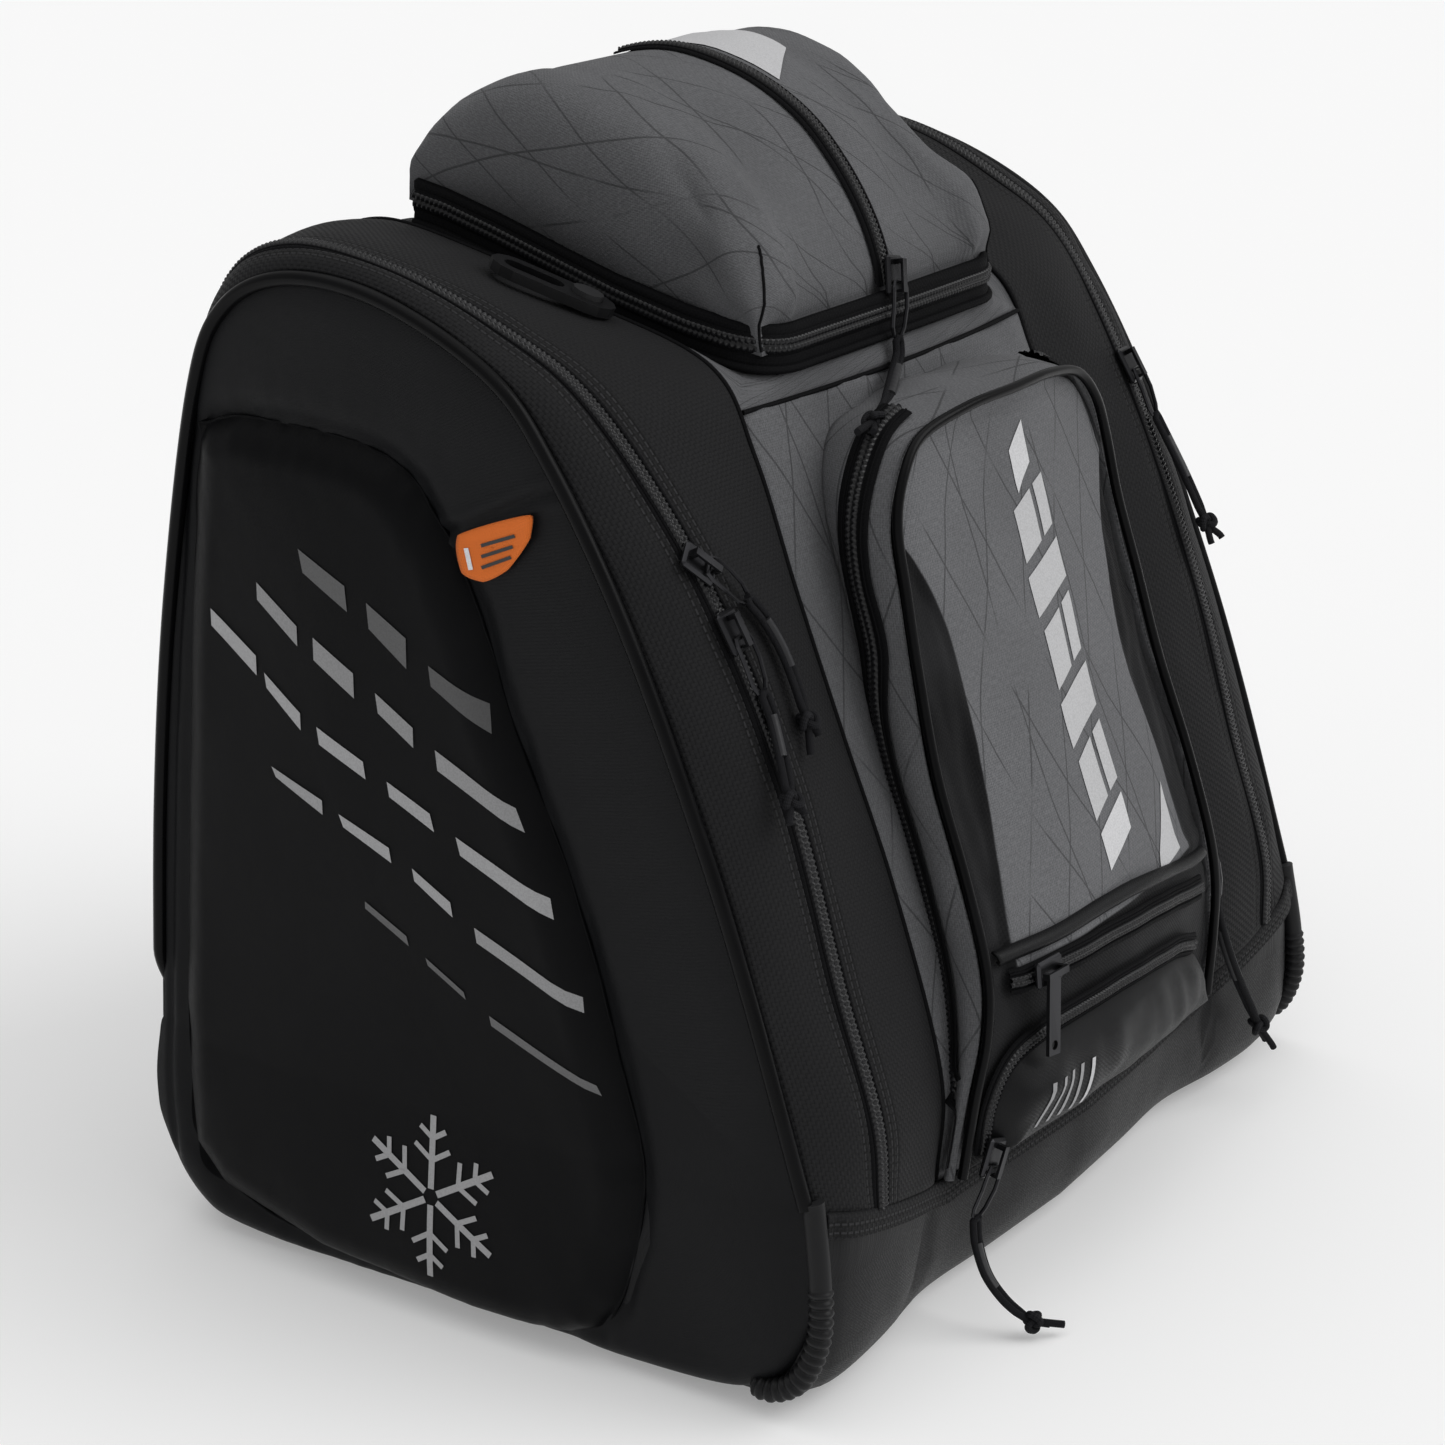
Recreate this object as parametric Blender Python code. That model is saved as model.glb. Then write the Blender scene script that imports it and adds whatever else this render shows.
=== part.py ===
"""Ski boot bag: a backpack with two boot compartments at its sides, opened by zipped doors.

Metres, +Z up, the front towards -Y. The origin is on the floor under the middle of the bag.
Outlines are (y, z) lists for the left and right sides alike; the bag is symmetric in x.
"""
import math

import bmesh
import bpy
from mathutils import Matrix, Vector

# ---- driving dimensions -------------------------------------------------------------------
BASE_HALF_WIDTH = 0.214      # piping to the middle plane, near the floor
SILL_HALF_WIDTH = 0.206      # piping at the base seam
SILL_Z = 0.088               # height of the base seam at the piping
ZIP_HALF_WIDTH = 0.168       # main zip at its lower end
ZIP_FLARE = 0.023            # how far the main zip flares out towards the top
ZIP_FLARE_Z = (0.230, 0.420)
SEAM_HALF_WIDTH = 0.109      # seam between the black gusset and the grey front
FABRIC = 0.003               # padded fabric wall
GAP = 0.0004                 # clearance between touching pieces
ARCH_STEPS = 36

# The three lines that run over each side compartment, from lower front to lower rear.
EDGE_ARCH = [(-0.168, 0.088), (-0.143, 0.166), (-0.121, 0.226), (-0.089, 0.299), (-0.057, 0.354),
             (-0.030, 0.384), (0.020, 0.406), (0.065, 0.409), (0.096, 0.394), (0.113, 0.360),
             (0.131, 0.272), (0.142, 0.185), (0.149, 0.088)]
ZIP_ARCH = [(-0.178, 0.076), (-0.175, 0.110), (-0.158, 0.160), (-0.140, 0.219), (-0.117, 0.276),
            (-0.088, 0.330), (-0.054, 0.375), (-0.020, 0.396), (0.023, 0.413), (0.070, 0.419),
            (0.104, 0.405), (0.124, 0.370), (0.141, 0.285), (0.150, 0.200), (0.156, 0.076)]
SEAM_ARCH = [(-0.167, 0.060), (-0.168, 0.105), (-0.146, 0.176), (-0.122, 0.235), (-0.100, 0.290),
             (-0.081, 0.340), (-0.060, 0.373), (0.000, 0.391), (0.050, 0.405), (0.098, 0.412),
             (0.126, 0.396), (0.141, 0.350), (0.152, 0.250), (0.156, 0.060)]

# Inner walls that part the boot compartments from the middle one.
DIVIDER = [(-0.158, 0.012), (-0.159, 0.100), (-0.135, 0.181), (-0.111, 0.237), (-0.090, 0.290),
           (-0.071, 0.338), (-0.054, 0.360), (0.000, 0.376), (0.050, 0.389), (0.095, 0.396),
           (0.116, 0.382), (0.130, 0.345), (0.140, 0.250), (0.142, 0.012)]
DIVIDER_X = 0.1035
DOOR_HINGE = (0.206, 0.0, 0.076)             # fold line of the right door
DIVIDER_THICK = 0.003

# Raised pad on each side panel.
PAD_OUTLINE = [(0.127, 0.097), (0.121, 0.200), (0.113, 0.300), (0.109, 0.336), (0.099, 0.349),
               (0.080, 0.353), (0.040, 0.352), (0.014, 0.346), (0.000, 0.335), (-0.012, 0.316),
               (-0.024, 0.292), (-0.040, 0.250), (-0.062, 0.198), (-0.085, 0.128),
               (-0.090, 0.097), (0.020, 0.094)]
PAD_THICK = 0.011

# Base tub: front and rear plan line (x, y) of the right half, and its wall levels.
TUB_PLAN = [(0.0, -0.176), (0.060, -0.172), (0.108, -0.169), (0.150, -0.176), (0.190, -0.1775),
            (0.2045, -0.1715), (0.2125, -0.154), (0.214, 0.0), (0.212, 0.120), (0.202, 0.146),
            (0.170, 0.155), (0.090, 0.157), (0.0, 0.157)]
TUB_LEVELS = [(0.000, 0.930, 0.820), (0.003, 0.962, 0.905), (0.012, 0.985, 0.965),
              (0.028, 1.000, 0.996)]
TUB_TOP_SCALE = (0.972, 0.996)
TUB_MIDDLE_Y = -0.011
TUB_TOP_MIDDLE = 0.0565
TUB_TOP_RISE = 0.027

# Lid: heights (y, z) of the zip line round its foot, and of the crown along its middle.
LID_HALF_WIDTH = 0.092
LID_FOOT = [(-0.074, 0.369), (-0.062, 0.371), (-0.039, 0.375), (-0.006, 0.383), (0.023, 0.392),
            (0.052, 0.401), (0.077, 0.408), (0.098, 0.412)]
LID_CROWN = [(-0.074, 0.374), (-0.070, 0.396), (-0.062, 0.415), (-0.049, 0.434), (-0.032, 0.451),
             (-0.008, 0.464), (0.021, 0.472), (0.045, 0.470), (0.070, 0.461), (0.088, 0.446),
             (0.097, 0.430), (0.098, 0.418)]
LID_HINGE = (0.0, 0.098, 0.412)
LID_SQUARENESS = (6.0, 5.5)  # of its cross-section, at the front and at the rear
LID_BAND = 0.005             # half height of the zip band round the foot

# Front pocket: half width against height, and how far forward its piping stands.
POCKET_EDGE = [(0.105, -0.176, 0.062), (0.102, -0.179, 0.094), (0.097, -0.181, 0.120),
               (0.093, -0.178, 0.145), (0.0915, -0.167, 0.180), (0.090, -0.1525, 0.219),
               (0.087, -0.1415, 0.258), (0.0835, -0.1335, 0.288), (0.082, -0.128, 0.313),
               (0.075, -0.126, 0.331), (0.060, -0.125, 0.344), (0.030, -0.128, 0.350),
               (0.0, -0.130, 0.351)]
POCKET_BULGE = 0.010

BLACK = (0.018, 0.018, 0.020)
CHARCOAL = (0.035, 0.036, 0.040)
GREY = (0.125, 0.127, 0.135)
STEEL = (0.30, 0.30, 0.31)


# ---- scene and materials ------------------------------------------------------------------
def clear_scene():
    for old in list(bpy.data.objects):
        bpy.data.objects.remove(old)


def material(name, colour, roughness, metallic=0.0):
    made = bpy.data.materials.get(name)
    if made is None:
        made = bpy.data.materials.new(name)
        made.use_nodes = True
        shader = made.node_tree.nodes["Principled BSDF"]
        shader.inputs["Base Color"].default_value = (*colour, 1.0)
        shader.inputs["Roughness"].default_value = roughness
        shader.inputs["Metallic"].default_value = metallic
    return made


def tarpaulin():
    return material("tarpaulin", BLACK, 0.55)


def ballistic():
    return material("ballistic_weave", BLACK, 0.85)


def grey_cloth():
    return material("grey_cloth", GREY, 0.8)


def rubber():
    return material("rubber", BLACK, 0.5)


def zip_plastic():
    return material("zip_plastic", BLACK, 0.45)


def steel():
    return material("gunmetal", STEEL, 0.35, 1.0)


def cord_cloth():
    return material("cord_cloth", CHARCOAL, 0.8)


def foam_mesh():
    return material("spacer_mesh", BLACK, 0.9)


# ---- curves -------------------------------------------------------------------------------
def spline_point(before, start, end, after, f):
    """Catmull-Rom point between start and end."""
    return 0.5 * (2 * start + (end - before) * f
                  + (2 * before - 5 * start + 4 * end - after) * f * f
                  + (3 * start - before - 3 * end + after) * f ** 3)


def smooth_line(points, steps, closed=False):
    """Evenly spaced points along a smooth curve through the given ones."""
    knots = [Vector(p) for p in points]
    count = len(knots)
    spans = count if closed else count - 1

    def knot(i):
        if closed:
            return knots[i % count]
        if i < 0:
            return 2 * knots[0] - knots[1]
        if i >= count:
            return 2 * knots[-1] - knots[-2]
        return knots[i]

    dense = [spline_point(knot(i - 1), knot(i), knot(i + 1), knot(i + 2), k / 12)
             for i in range(spans) for k in range(12)]
    dense.append(knot(spans).copy())
    return resample(dense, steps)


def resample(dense, steps):
    """The same line with steps + 1 evenly spaced points."""
    reach = [0.0]
    for a, b in zip(dense, dense[1:]):
        reach.append(reach[-1] + (b - a).length)
    out = []
    i = 0
    for k in range(steps + 1):
        want = reach[-1] * k / steps
        while i < len(dense) - 2 and reach[i + 1] < want:
            i += 1
        span = reach[i + 1] - reach[i]
        f = (want - reach[i]) / span if span > 0 else 0.0
        out.append(dense[i].lerp(dense[i + 1], min(max(f, 0.0), 1.0)))
    return out


def value_at(line, y):
    """Height of a (y, z) line at y."""
    for a, b in zip(line, line[1:]):
        if a[0] <= y <= b[0]:
            return a[1] + (b[1] - a[1]) * (y - a[0]) / (b[0] - a[0])
    return line[0][1] if y < line[0][0] else line[-1][1]


def edge_x(z):
    below = max(SILL_Z - z, 0.0) / SILL_Z
    return SILL_HALF_WIDTH + (BASE_HALF_WIDTH - SILL_HALF_WIDTH) * below


def zip_x(z):
    low, high = ZIP_FLARE_Z
    return ZIP_HALF_WIDTH + ZIP_FLARE * max((z - low) / (high - low), 0.0) ** 2


def arch_lines(side):
    """Piping, main zip and seam lines of one side, point for point alongside each other."""
    edge = [Vector((side * edge_x(z), y, z)) for y, z in smooth_line(EDGE_ARCH, ARCH_STEPS)]
    zips = [Vector((side * zip_x(z), y, z)) for y, z in smooth_line(ZIP_ARCH, ARCH_STEPS)]
    seam = [Vector((side * SEAM_HALF_WIDTH, y, z)) for y, z in smooth_line(SEAM_ARCH, ARCH_STEPS)]
    return edge, zips, seam


def tangent_at(line, i):
    return (line[min(i + 1, len(line) - 1)] - line[max(i - 1, 0)]).normalized()


BAG_MIDDLE = Vector((0.0, -0.01, 0.20))


def outward(tangent, across, point):
    """Unit normal of a strip, pointing away from the middle of the bag."""
    normal = tangent.cross(across).normalized()
    return normal if normal.dot(point - BAG_MIDDLE) > 0 else -normal


# ---- solids -------------------------------------------------------------------------------
def add_object(name, mesh, surface, smooth=True):
    made = bpy.data.objects.new(name, mesh)
    bpy.context.scene.collection.objects.link(made)
    mesh.materials.append(surface)
    if smooth:
        mesh.shade_smooth()
        mesh.set_sharp_from_angle(angle=math.radians(40))
    return made


def sheet(name, rows, surface, thickness=FABRIC, outside=None, closed=False):
    """A wall of the given thickness whose outer face is the grid of rows."""
    mesh = bpy.data.meshes.new(name)
    wide = len(rows[0])
    points = [tuple(p) for row in rows for p in row]
    faces = []
    columns = wide if closed else wide - 1
    for r in range(len(rows) - 1):
        for c in range(columns):
            n = (c + 1) % wide
            faces.append((r * wide + c, r * wide + n, (r + 1) * wide + n, (r + 1) * wide + c))
    mesh.from_pydata(points, [], faces)
    mesh.update()
    middle = mesh.polygons[len(mesh.polygons) // 2]
    away = outside if outside is not None else middle.center - BAG_MIDDLE
    if middle.normal.dot(away) < 0:
        mesh.flip_normals()
    made = add_object(name, mesh, surface)
    wall = made.modifiers.new("wall", "SOLIDIFY")
    wall.thickness = thickness
    wall.offset = -1.0
    wall.use_even_offset = False
    return made


def set_origin(made, frame):
    """Put an object's origin and axes on a frame without moving the object."""
    made.data.transform(frame.inverted() @ made.matrix_world)
    made.matrix_world = frame


def strip_rows(line_a, line_b, start, stop, across, bulge=0.0):
    """Rows between two lines, from start after the first line to stop before the second."""
    rows = []
    for i, (a, b) in enumerate(zip(line_a, line_b)):
        span = b - a
        out = outward(tangent_at(line_a, i), span, a)
        length = span.length
        row = []
        for k in range(across + 1):
            f = (start + (length - start - stop) * k / across) / length
            row.append(a + span * f + out * (bulge * 4 * f * (1 - f)))
        rows.append(row)
    return rows


def plate(name, outline, x_of_z, thickness, side, surface, away):
    """A flat panel with a (y, z) outline. away is +1 when it thickens outwards."""
    mesh = bpy.data.meshes.new(name)
    bm = bmesh.new()
    ring = [bm.verts.new((side * x_of_z(z), y, z)) for y, z in outline]
    face = bm.faces.new(ring)
    grown = bmesh.ops.extrude_face_region(bm, geom=[face])
    moved = [v for v in grown["geom"] if isinstance(v, bmesh.types.BMVert)]
    bmesh.ops.translate(bm, verts=moved, vec=(side * away * thickness, 0, 0))
    bmesh.ops.recalc_face_normals(bm, faces=bm.faces)
    bm.to_mesh(mesh)
    bm.free()
    return add_object(name, mesh, surface)


def box(name, low, high, surface, bevel=0.0):
    mesh = bpy.data.meshes.new(name)
    bm = bmesh.new()
    bmesh.ops.create_cube(bm, size=1.0)
    size = Vector(high) - Vector(low)
    bmesh.ops.scale(bm, vec=size, verts=bm.verts)
    bmesh.ops.translate(bm, vec=(Vector(high) + Vector(low)) / 2, verts=bm.verts)
    if bevel:
        bmesh.ops.bevel(bm, geom=list(bm.edges), offset=bevel, segments=1, affect="EDGES")
    bm.to_mesh(mesh)
    bm.free()
    return add_object(name, mesh, surface)


def tube(name, points, radius, surface, cyclic=False, resolution=2):
    """A round bar along the points, capped unless it closes on itself."""
    curve = bpy.data.curves.new(name, "CURVE")
    curve.dimensions = "3D"
    curve.bevel_depth = radius
    curve.bevel_resolution = resolution
    curve.use_fill_caps = not cyclic
    line = curve.splines.new("POLY")
    line.points.add(len(points) - 1)
    for knot, p in zip(line.points, points):
        knot.co = (*p, 1.0)
    line.use_cyclic_u = cyclic
    line.use_smooth = True
    made = bpy.data.objects.new(name, curve)
    bpy.context.scene.collection.objects.link(made)
    curve.materials.append(surface)
    return made


def ribbon_rows(points, normals, width, lift):
    rows = []
    for i, (p, n) in enumerate(zip(points, normals)):
        side = tangent_at(points, i).cross(n).normalized()
        rows.append([p + n * lift + side * (width * s) for s in (-0.5, 0.0, 0.5)])
    return rows


# ---- body of the bag ----------------------------------------------------------------------
def tub_height(x):
    f = (abs(x) - SEAM_HALF_WIDTH) / (SILL_HALF_WIDTH - SEAM_HALF_WIDTH)
    return TUB_TOP_MIDDLE + TUB_TOP_RISE * min(max(f, 0.0), 1.0)


def make_base():
    right = smooth_line(TUB_PLAN, 22)
    left = [Vector((-p.x, p.y)) for p in reversed(right[1:-1])]
    plan = right + left
    rows = []
    for z, sx, sy in TUB_LEVELS:
        rows.append([Vector((p.x * sx, TUB_MIDDLE_Y + (p.y - TUB_MIDDLE_Y) * sy, z)) for p in plan])
    sx, sy = TUB_TOP_SCALE
    rows.append([Vector((p.x * sx, TUB_MIDDLE_Y + (p.y - TUB_MIDDLE_Y) * sy, tub_height(p.x)))
                 for p in plan])
    tub = sheet("base_tub", rows, tarpaulin(), outside=Vector((0, -1, 0)), closed=True)
    mesh = tub.data
    bm = bmesh.new()
    bm.from_mesh(mesh)
    rim = [e for e in bm.edges if e.is_boundary and all(v.co.z < 0.001 for v in e.verts)]
    bmesh.ops.holes_fill(bm, edges=rim, sides=0)
    bmesh.ops.recalc_face_normals(bm, faces=bm.faces)
    low = min(bm.faces, key=lambda f: f.calc_center_median().z)
    if low.normal.z > 0:
        bmesh.ops.reverse_faces(bm, faces=bm.faces)
    bm.to_mesh(mesh)
    bm.free()
    box("base_board", (-0.184, -0.138, 0.0036), (0.184, 0.112, 0.0066), rubber())


GUARD_ROUTE = [(-0.1715, 0.083), (-0.1760, 0.060), (-0.1770, 0.038), (-0.1700, 0.020),
               (-0.158, 0.0092), (-0.1475, 0.0072)]


def make_guard(side, word):
    """Ribbed rubber guard round a front bottom corner."""
    line = [Vector((side * (edge_x(z) - 0.001), y, z)) for y, z in smooth_line(GUARD_ROUTE, 14)]
    tube("corner_guard_" + word, line, 0.0055, rubber())


def front_y(z):
    """Front line of the seam at a height."""
    front = [p for p in smooth_line(SEAM_ARCH, ARCH_STEPS) if p[0] < -0.055]
    for a, b in zip(front, front[1:]):
        if a[1] <= z <= b[1]:
            return a[0] + (b[0] - a[0]) * (z - a[1]) / (b[1] - a[1])
    return front[0][0] if z < front[0][1] else front[-1][0]


FRONT_TOP = 0.355
FRONT_LOW = 0.0605
FRONT_BULGE = 0.007


def front_surface(x, z):
    f = x / SEAM_HALF_WIDTH
    return front_y(z) - FRONT_BULGE * (1 - f * f)


def make_front_and_back():
    half = SEAM_HALF_WIDTH - 0.002
    rows = []
    steps = 16
    for r in range(steps + 1):
        z = FRONT_LOW + (FRONT_TOP - FRONT_LOW) * r / steps
        rows.append([Vector((half * (c / 3 - 1), front_surface(half * (c / 3 - 1), z), z))
                     for c in range(7)])
    sheet("front_panel", rows, grey_cloth(), outside=Vector((0, -1, 0)))

    back = [(0.156, 0.060), (0.156, 0.170), (0.152, 0.250), (0.141, 0.345), (0.134, 0.370)]
    rows = [[Vector((half * (c / 2 - 1), y, z)) for c in range(5)]
            for y, z in smooth_line(back, 10)]
    sheet("back_panel", rows, ballistic(), outside=Vector((0, 1, 0)))

    pad = box("back_pad", (-0.140, 0.1635, 0.075), (0.140, 0.1755, 0.352), foam_mesh())
    round_off = pad.modifiers.new("round_off", "BEVEL")
    round_off.width = 0.004
    round_off.segments = 1


def make_collar():
    """Grey ring between the side compartments that the lid closes on."""
    inner_low = LID_BAND + 0.0016
    loop_in = []
    loop_out = []
    stations = [-0.060, -0.030, 0.010, 0.050, 0.085]
    corner_in = Vector((0.0865, -0.0705, value_at(LID_FOOT, -0.0705) - inner_low - 0.0025))
    corner_out = Vector((0.1030, -0.0720, 0.3625))
    loop_in.append(Vector((-corner_in.x, corner_in.y, corner_in.z)))
    loop_out.append(Vector((-corner_out.x, corner_out.y, corner_out.z)))
    seam = smooth_line(SEAM_ARCH, ARCH_STEPS)
    top = sorted((p[0], p[1]) for p in seam if p[1] > 0.362)
    out_x = SEAM_HALF_WIDTH - 0.0025
    for x in (-0.060, -0.020, 0.020, 0.060):
        loop_in.append(Vector((x, -0.0735, value_at(LID_FOOT, -0.074) - inner_low - 0.0045)))
        loop_out.append(Vector((x, front_surface(x, FRONT_TOP) + 0.0005, FRONT_TOP + 0.0034)))
    loop_in.append(corner_in)
    loop_out.append(corner_out)
    for y in stations:
        loop_in.append(Vector((LID_HALF_WIDTH, y, value_at(LID_FOOT, y) - inner_low)))
        loop_out.append(Vector((out_x, y + 0.004, value_at(top, y + 0.004) - 0.001)))
    for x in (0.070, 0.025, -0.025, -0.070):
        loop_in.append(Vector((x, 0.098, value_at(LID_FOOT, 0.098) - inner_low)))
        loop_out.append(Vector((x * 1.35, 0.127, 0.3905)))
    for y in reversed(stations):
        loop_in.append(Vector((-LID_HALF_WIDTH, y, value_at(LID_FOOT, y) - inner_low)))
        loop_out.append(Vector((-out_x, y + 0.004, value_at(top, y + 0.004) - 0.001)))
    rows = [[a.lerp(b, f) for a, b in zip(loop_in, loop_out)] for f in (0.0, 0.5, 1.0)]
    sheet("top_collar", rows, grey_cloth(), thickness=0.0025, outside=Vector((0, 0, 1)),
          closed=True)


def make_side(side, word):
    """One boot compartment: gussets and zip on the bag, side panel and pad on its door."""
    edge, zips, seam = arch_lines(side)
    sheet("inner_gusset_" + word, strip_rows(zips, seam, 0.0045, 0.0008, 3, 0.003), ballistic())
    door = [sheet("outer_gusset_" + word, strip_rows(edge, zips, 0.0042, 0.0045, 3, 0.003),
                  ballistic())]

    normals = [outward(tangent_at(zips, i), s - e, z)
               for i, (e, z, s) in enumerate(zip(edge, zips, seam))]
    sheet("main_zip_" + word, ribbon_rows(zips, normals, 0.0078, 0.0004), zip_plastic(), 0.0026)

    outline = smooth_line(EDGE_ARCH, 34)
    middle = Vector((0.0, 0.21))
    inset = [p + (middle - p).normalized() * 0.0056 for p in outline]
    inset[0] = Vector((-0.1625, SILL_Z + 0.001))
    inset[-1] = Vector((0.1430, SILL_Z + 0.001))
    door.append(plate("side_panel_" + word, inset, edge_x, FABRIC, side, tarpaulin(), -1))
    door.append(tube("side_piping_" + word, edge, 0.003, rubber(), resolution=1))

    pad = [p for p in smooth_line(PAD_OUTLINE, 30, closed=True)][:-1]
    raised = plate("side_pad_" + word, pad, lambda z: edge_x(z) + GAP, PAD_THICK, side,
                   tarpaulin(), 1)
    soften = raised.modifiers.new("soften", "BEVEL")
    soften.width = 0.004
    soften.segments = 2
    soften.limit_method = "ANGLE"
    x, y, z = DOOR_HINGE
    for piece in door + [raised]:
        set_origin(piece, Matrix.Translation((side * x, y, z)))

    divider = [p for p in smooth_line(DIVIDER, 26)]
    plate("divider_" + word, divider, lambda z: DIVIDER_X, DIVIDER_THICK, side, ballistic(), -1)


def make_heater(side, word):
    """Thin heating mat on the compartment side of a divider."""
    near = side * (DIVIDER_X + 0.0005)
    far = side * (DIVIDER_X + 0.0025)
    box("heater_mat_" + word, (min(near, far), -0.085, 0.040), (max(near, far), 0.105, 0.235),
        rubber())


# ---- lid ----------------------------------------------------------------------------------
def lid_point(theta, y, crown):
    """Point of the lid's outer surface: theta runs across, crown is the height on the middle."""
    front, rear = LID_SQUARENESS
    back = (y - LID_CROWN[0][0]) / (LID_CROWN[-1][0] - LID_CROWN[0][0])
    power = 2.0 / (front + (rear - front) * back)
    across = math.copysign(abs(math.sin(theta)) ** power, theta)
    rise = max(math.cos(theta), 0.0) ** power
    foot = value_at(LID_FOOT, y) + LID_BAND
    return Vector((LID_HALF_WIDTH * across, y, foot + (max(crown, foot) - foot) * rise))


def make_lid():
    rows = []
    for y, z in smooth_line(LID_CROWN, 14):
        rows.append([lid_point(math.pi / 2 * (k / 8 - 1), y, z) for k in range(17)])
    dome = sheet("lid_dome", rows, grey_cloth(), outside=Vector((0, 0, 1)))

    crown = [Vector((0, y, z)) for y, z in smooth_line(LID_CROWN, 30)][2:22]
    normals = []
    for i in range(len(crown)):
        n = tangent_at(crown, i).cross(Vector((1, 0, 0))).normalized()
        normals.append(n if n.dot(Vector((0, -1, 1))) > 0 else -n)
    top_zip = sheet("lid_top_zip", ribbon_rows(crown, normals, 0.010, 0.0035), zip_plastic(),
                    0.0026, outside=Vector((0, -1, 1)))
    for piece in (dome, top_zip):
        set_origin(piece, Matrix.Translation(LID_HINGE))

    foot = []
    for y in (0.085, 0.060, 0.030, 0.0, -0.030, -0.058):
        foot.append(Vector((-LID_HALF_WIDTH, y, value_at(LID_FOOT, y))))
    foot.append(Vector((-0.085, -0.070, value_at(LID_FOOT, -0.070))))
    front = [Vector((x, -0.0755, value_at(LID_FOOT, -0.074) - 0.004)) for x in (-0.060, -0.020)]
    half = foot + front
    loop = half + [Vector((-p.x, p.y, p.z)) for p in reversed(half)]
    rows = [[p + Vector((0, 0, dz)) for p in loop] for dz in (-0.0045, 0.0045)]
    sheet("lid_zip", rows, zip_plastic(), 0.0025, outside=Vector((0, -1, 0)))


# ---- front pocket -------------------------------------------------------------------------
def pocket_edge_line(steps):
    """Piping of the front pocket from lower left over the top to lower right."""
    half = [Vector((-x, y, z)) for x, y, z in POCKET_EDGE]
    return smooth_line(half + [Vector((-p.x, p.y, p.z)) for p in reversed(half[:-1])], steps)


def pocket_face_y(x, z):
    """Front face of the pocket, bulging from its piping."""
    rows = POCKET_EDGE
    for a, b in zip(rows, rows[1:]):
        if a[2] <= z <= b[2]:
            f = (z - a[2]) / (b[2] - a[2])
            half = a[0] + (b[0] - a[0]) * f
            edge = a[1] + (b[1] - a[1]) * f
            break
    else:
        half, edge = (rows[0][0], rows[0][1]) if z < rows[0][2] else (0.01, rows[-1][1])
    share = min(abs(x) / max(half, 0.01), 1.0)
    low_fade = min(max((z - rows[0][2]) / 0.040, 0.0), 1.0) * 0.6 + 0.4
    top_fade = min(max((rows[-1][2] - z) / 0.090, 0.0), 1.0) ** 0.6
    return edge - POCKET_BULGE * (1 - share ** 2) * low_fade * top_fade


def make_pocket():
    line = pocket_edge_line(36)
    root = [Vector((p.x * 0.985, front_surface(p.x, min(p.z, FRONT_TOP)) - 0.0024, p.z - 0.001))
            for p in line]
    rows = []
    for a, b in zip(root, line):
        span = a - b
        row = [b + span * f for f in (0.0, 0.34, 0.67, 1.0)]
        rows.append([p + Vector((math.copysign(0.004, p.x), 0, 0)) * (1 - k / 3)
                     for k, p in enumerate(row)])
    gusset_rows = []
    for row in rows:
        start = row[0] + (row[3] - row[0]) * 0.10
        gusset_rows.append([start] + row[1:])
    sheet("pocket_gusset", gusset_rows, grey_cloth(), 0.0022)
    tube("pocket_piping", [p + Vector((math.copysign(0.003, p.x) if abs(p.x) > 0.02 else 0,
                                       -0.003, 0.001)) for p in line], 0.0024, rubber(),
         resolution=1)

    inside = 0.0045
    rows = []
    for z in [0.064 + 0.282 * k / 15 for k in range(16)]:
        half = half_width_at(z) - inside
        rows.append([Vector((half * (c / 5 - 1), pocket_face_y(half * (c / 5 - 1), z), z))
                     for c in range(11)])
    sheet("pocket_face", rows, grey_cloth(), 0.0022, outside=Vector((0, -1, 0)))

    rows = []
    for z in [0.066 + 0.034 * k / 4 for k in range(5)]:
        arch = math.sin(math.pi * (0.10 + 0.62 * (z - 0.066) / 0.034))
        rows.append([Vector((x, pocket_face_y(x, z) - 0.0024 - 0.0135 * arch * edge_fade(x), z))
                     for x in [-0.0865 + 0.1565 * c / 9 for c in range(10)]])
    sheet("lower_pocket", rows, tarpaulin(), 0.0018, outside=Vector((0, -1, 0)))


def edge_fade(x):
    """1 in the middle of the lower pocket and 0 at its two ends."""
    f = (x + 0.009) / 0.079
    return max(1 - abs(f) ** 4, 0.0) ** 0.5


def half_width_at(z):
    rows = POCKET_EDGE
    for a, b in zip(rows, rows[1:]):
        if a[2] <= z <= b[2]:
            return a[0] + (b[0] - a[0]) * (z - a[2]) / (b[2] - a[2])
    return rows[0][0]


def face_ribbon(name, route, width, lift):
    """A zip lying on the pocket's face along a list of (x, z)."""
    line = [Vector((p[0], pocket_face_y(p[0], p[1]), p[1])) for p in smooth_line(route, 16)]
    normals = []
    for p in line:
        dx = pocket_face_y(p.x + 0.002, p.z) - pocket_face_y(p.x - 0.002, p.z)
        dz = pocket_face_y(p.x, p.z + 0.002) - pocket_face_y(p.x, p.z - 0.002)
        normals.append(Vector((dx, -0.004, dz)).normalized())
    return sheet(name, ribbon_rows(line, normals, width, lift), zip_plastic(), 0.0024,
                 outside=Vector((0, -1, 0)))


SLASH_ROUTE = [(-0.074, 0.139), (-0.030, 0.137), (0.030, 0.130), (0.072, 0.121)]
LOWER_ROUTE = [(0.066, 0.1045), (0.020, 0.1095), (-0.040, 0.1120), (-0.075, 0.1105),
               (-0.0905, 0.1020), (-0.0960, 0.0860), (-0.0955, 0.0690)]


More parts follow.
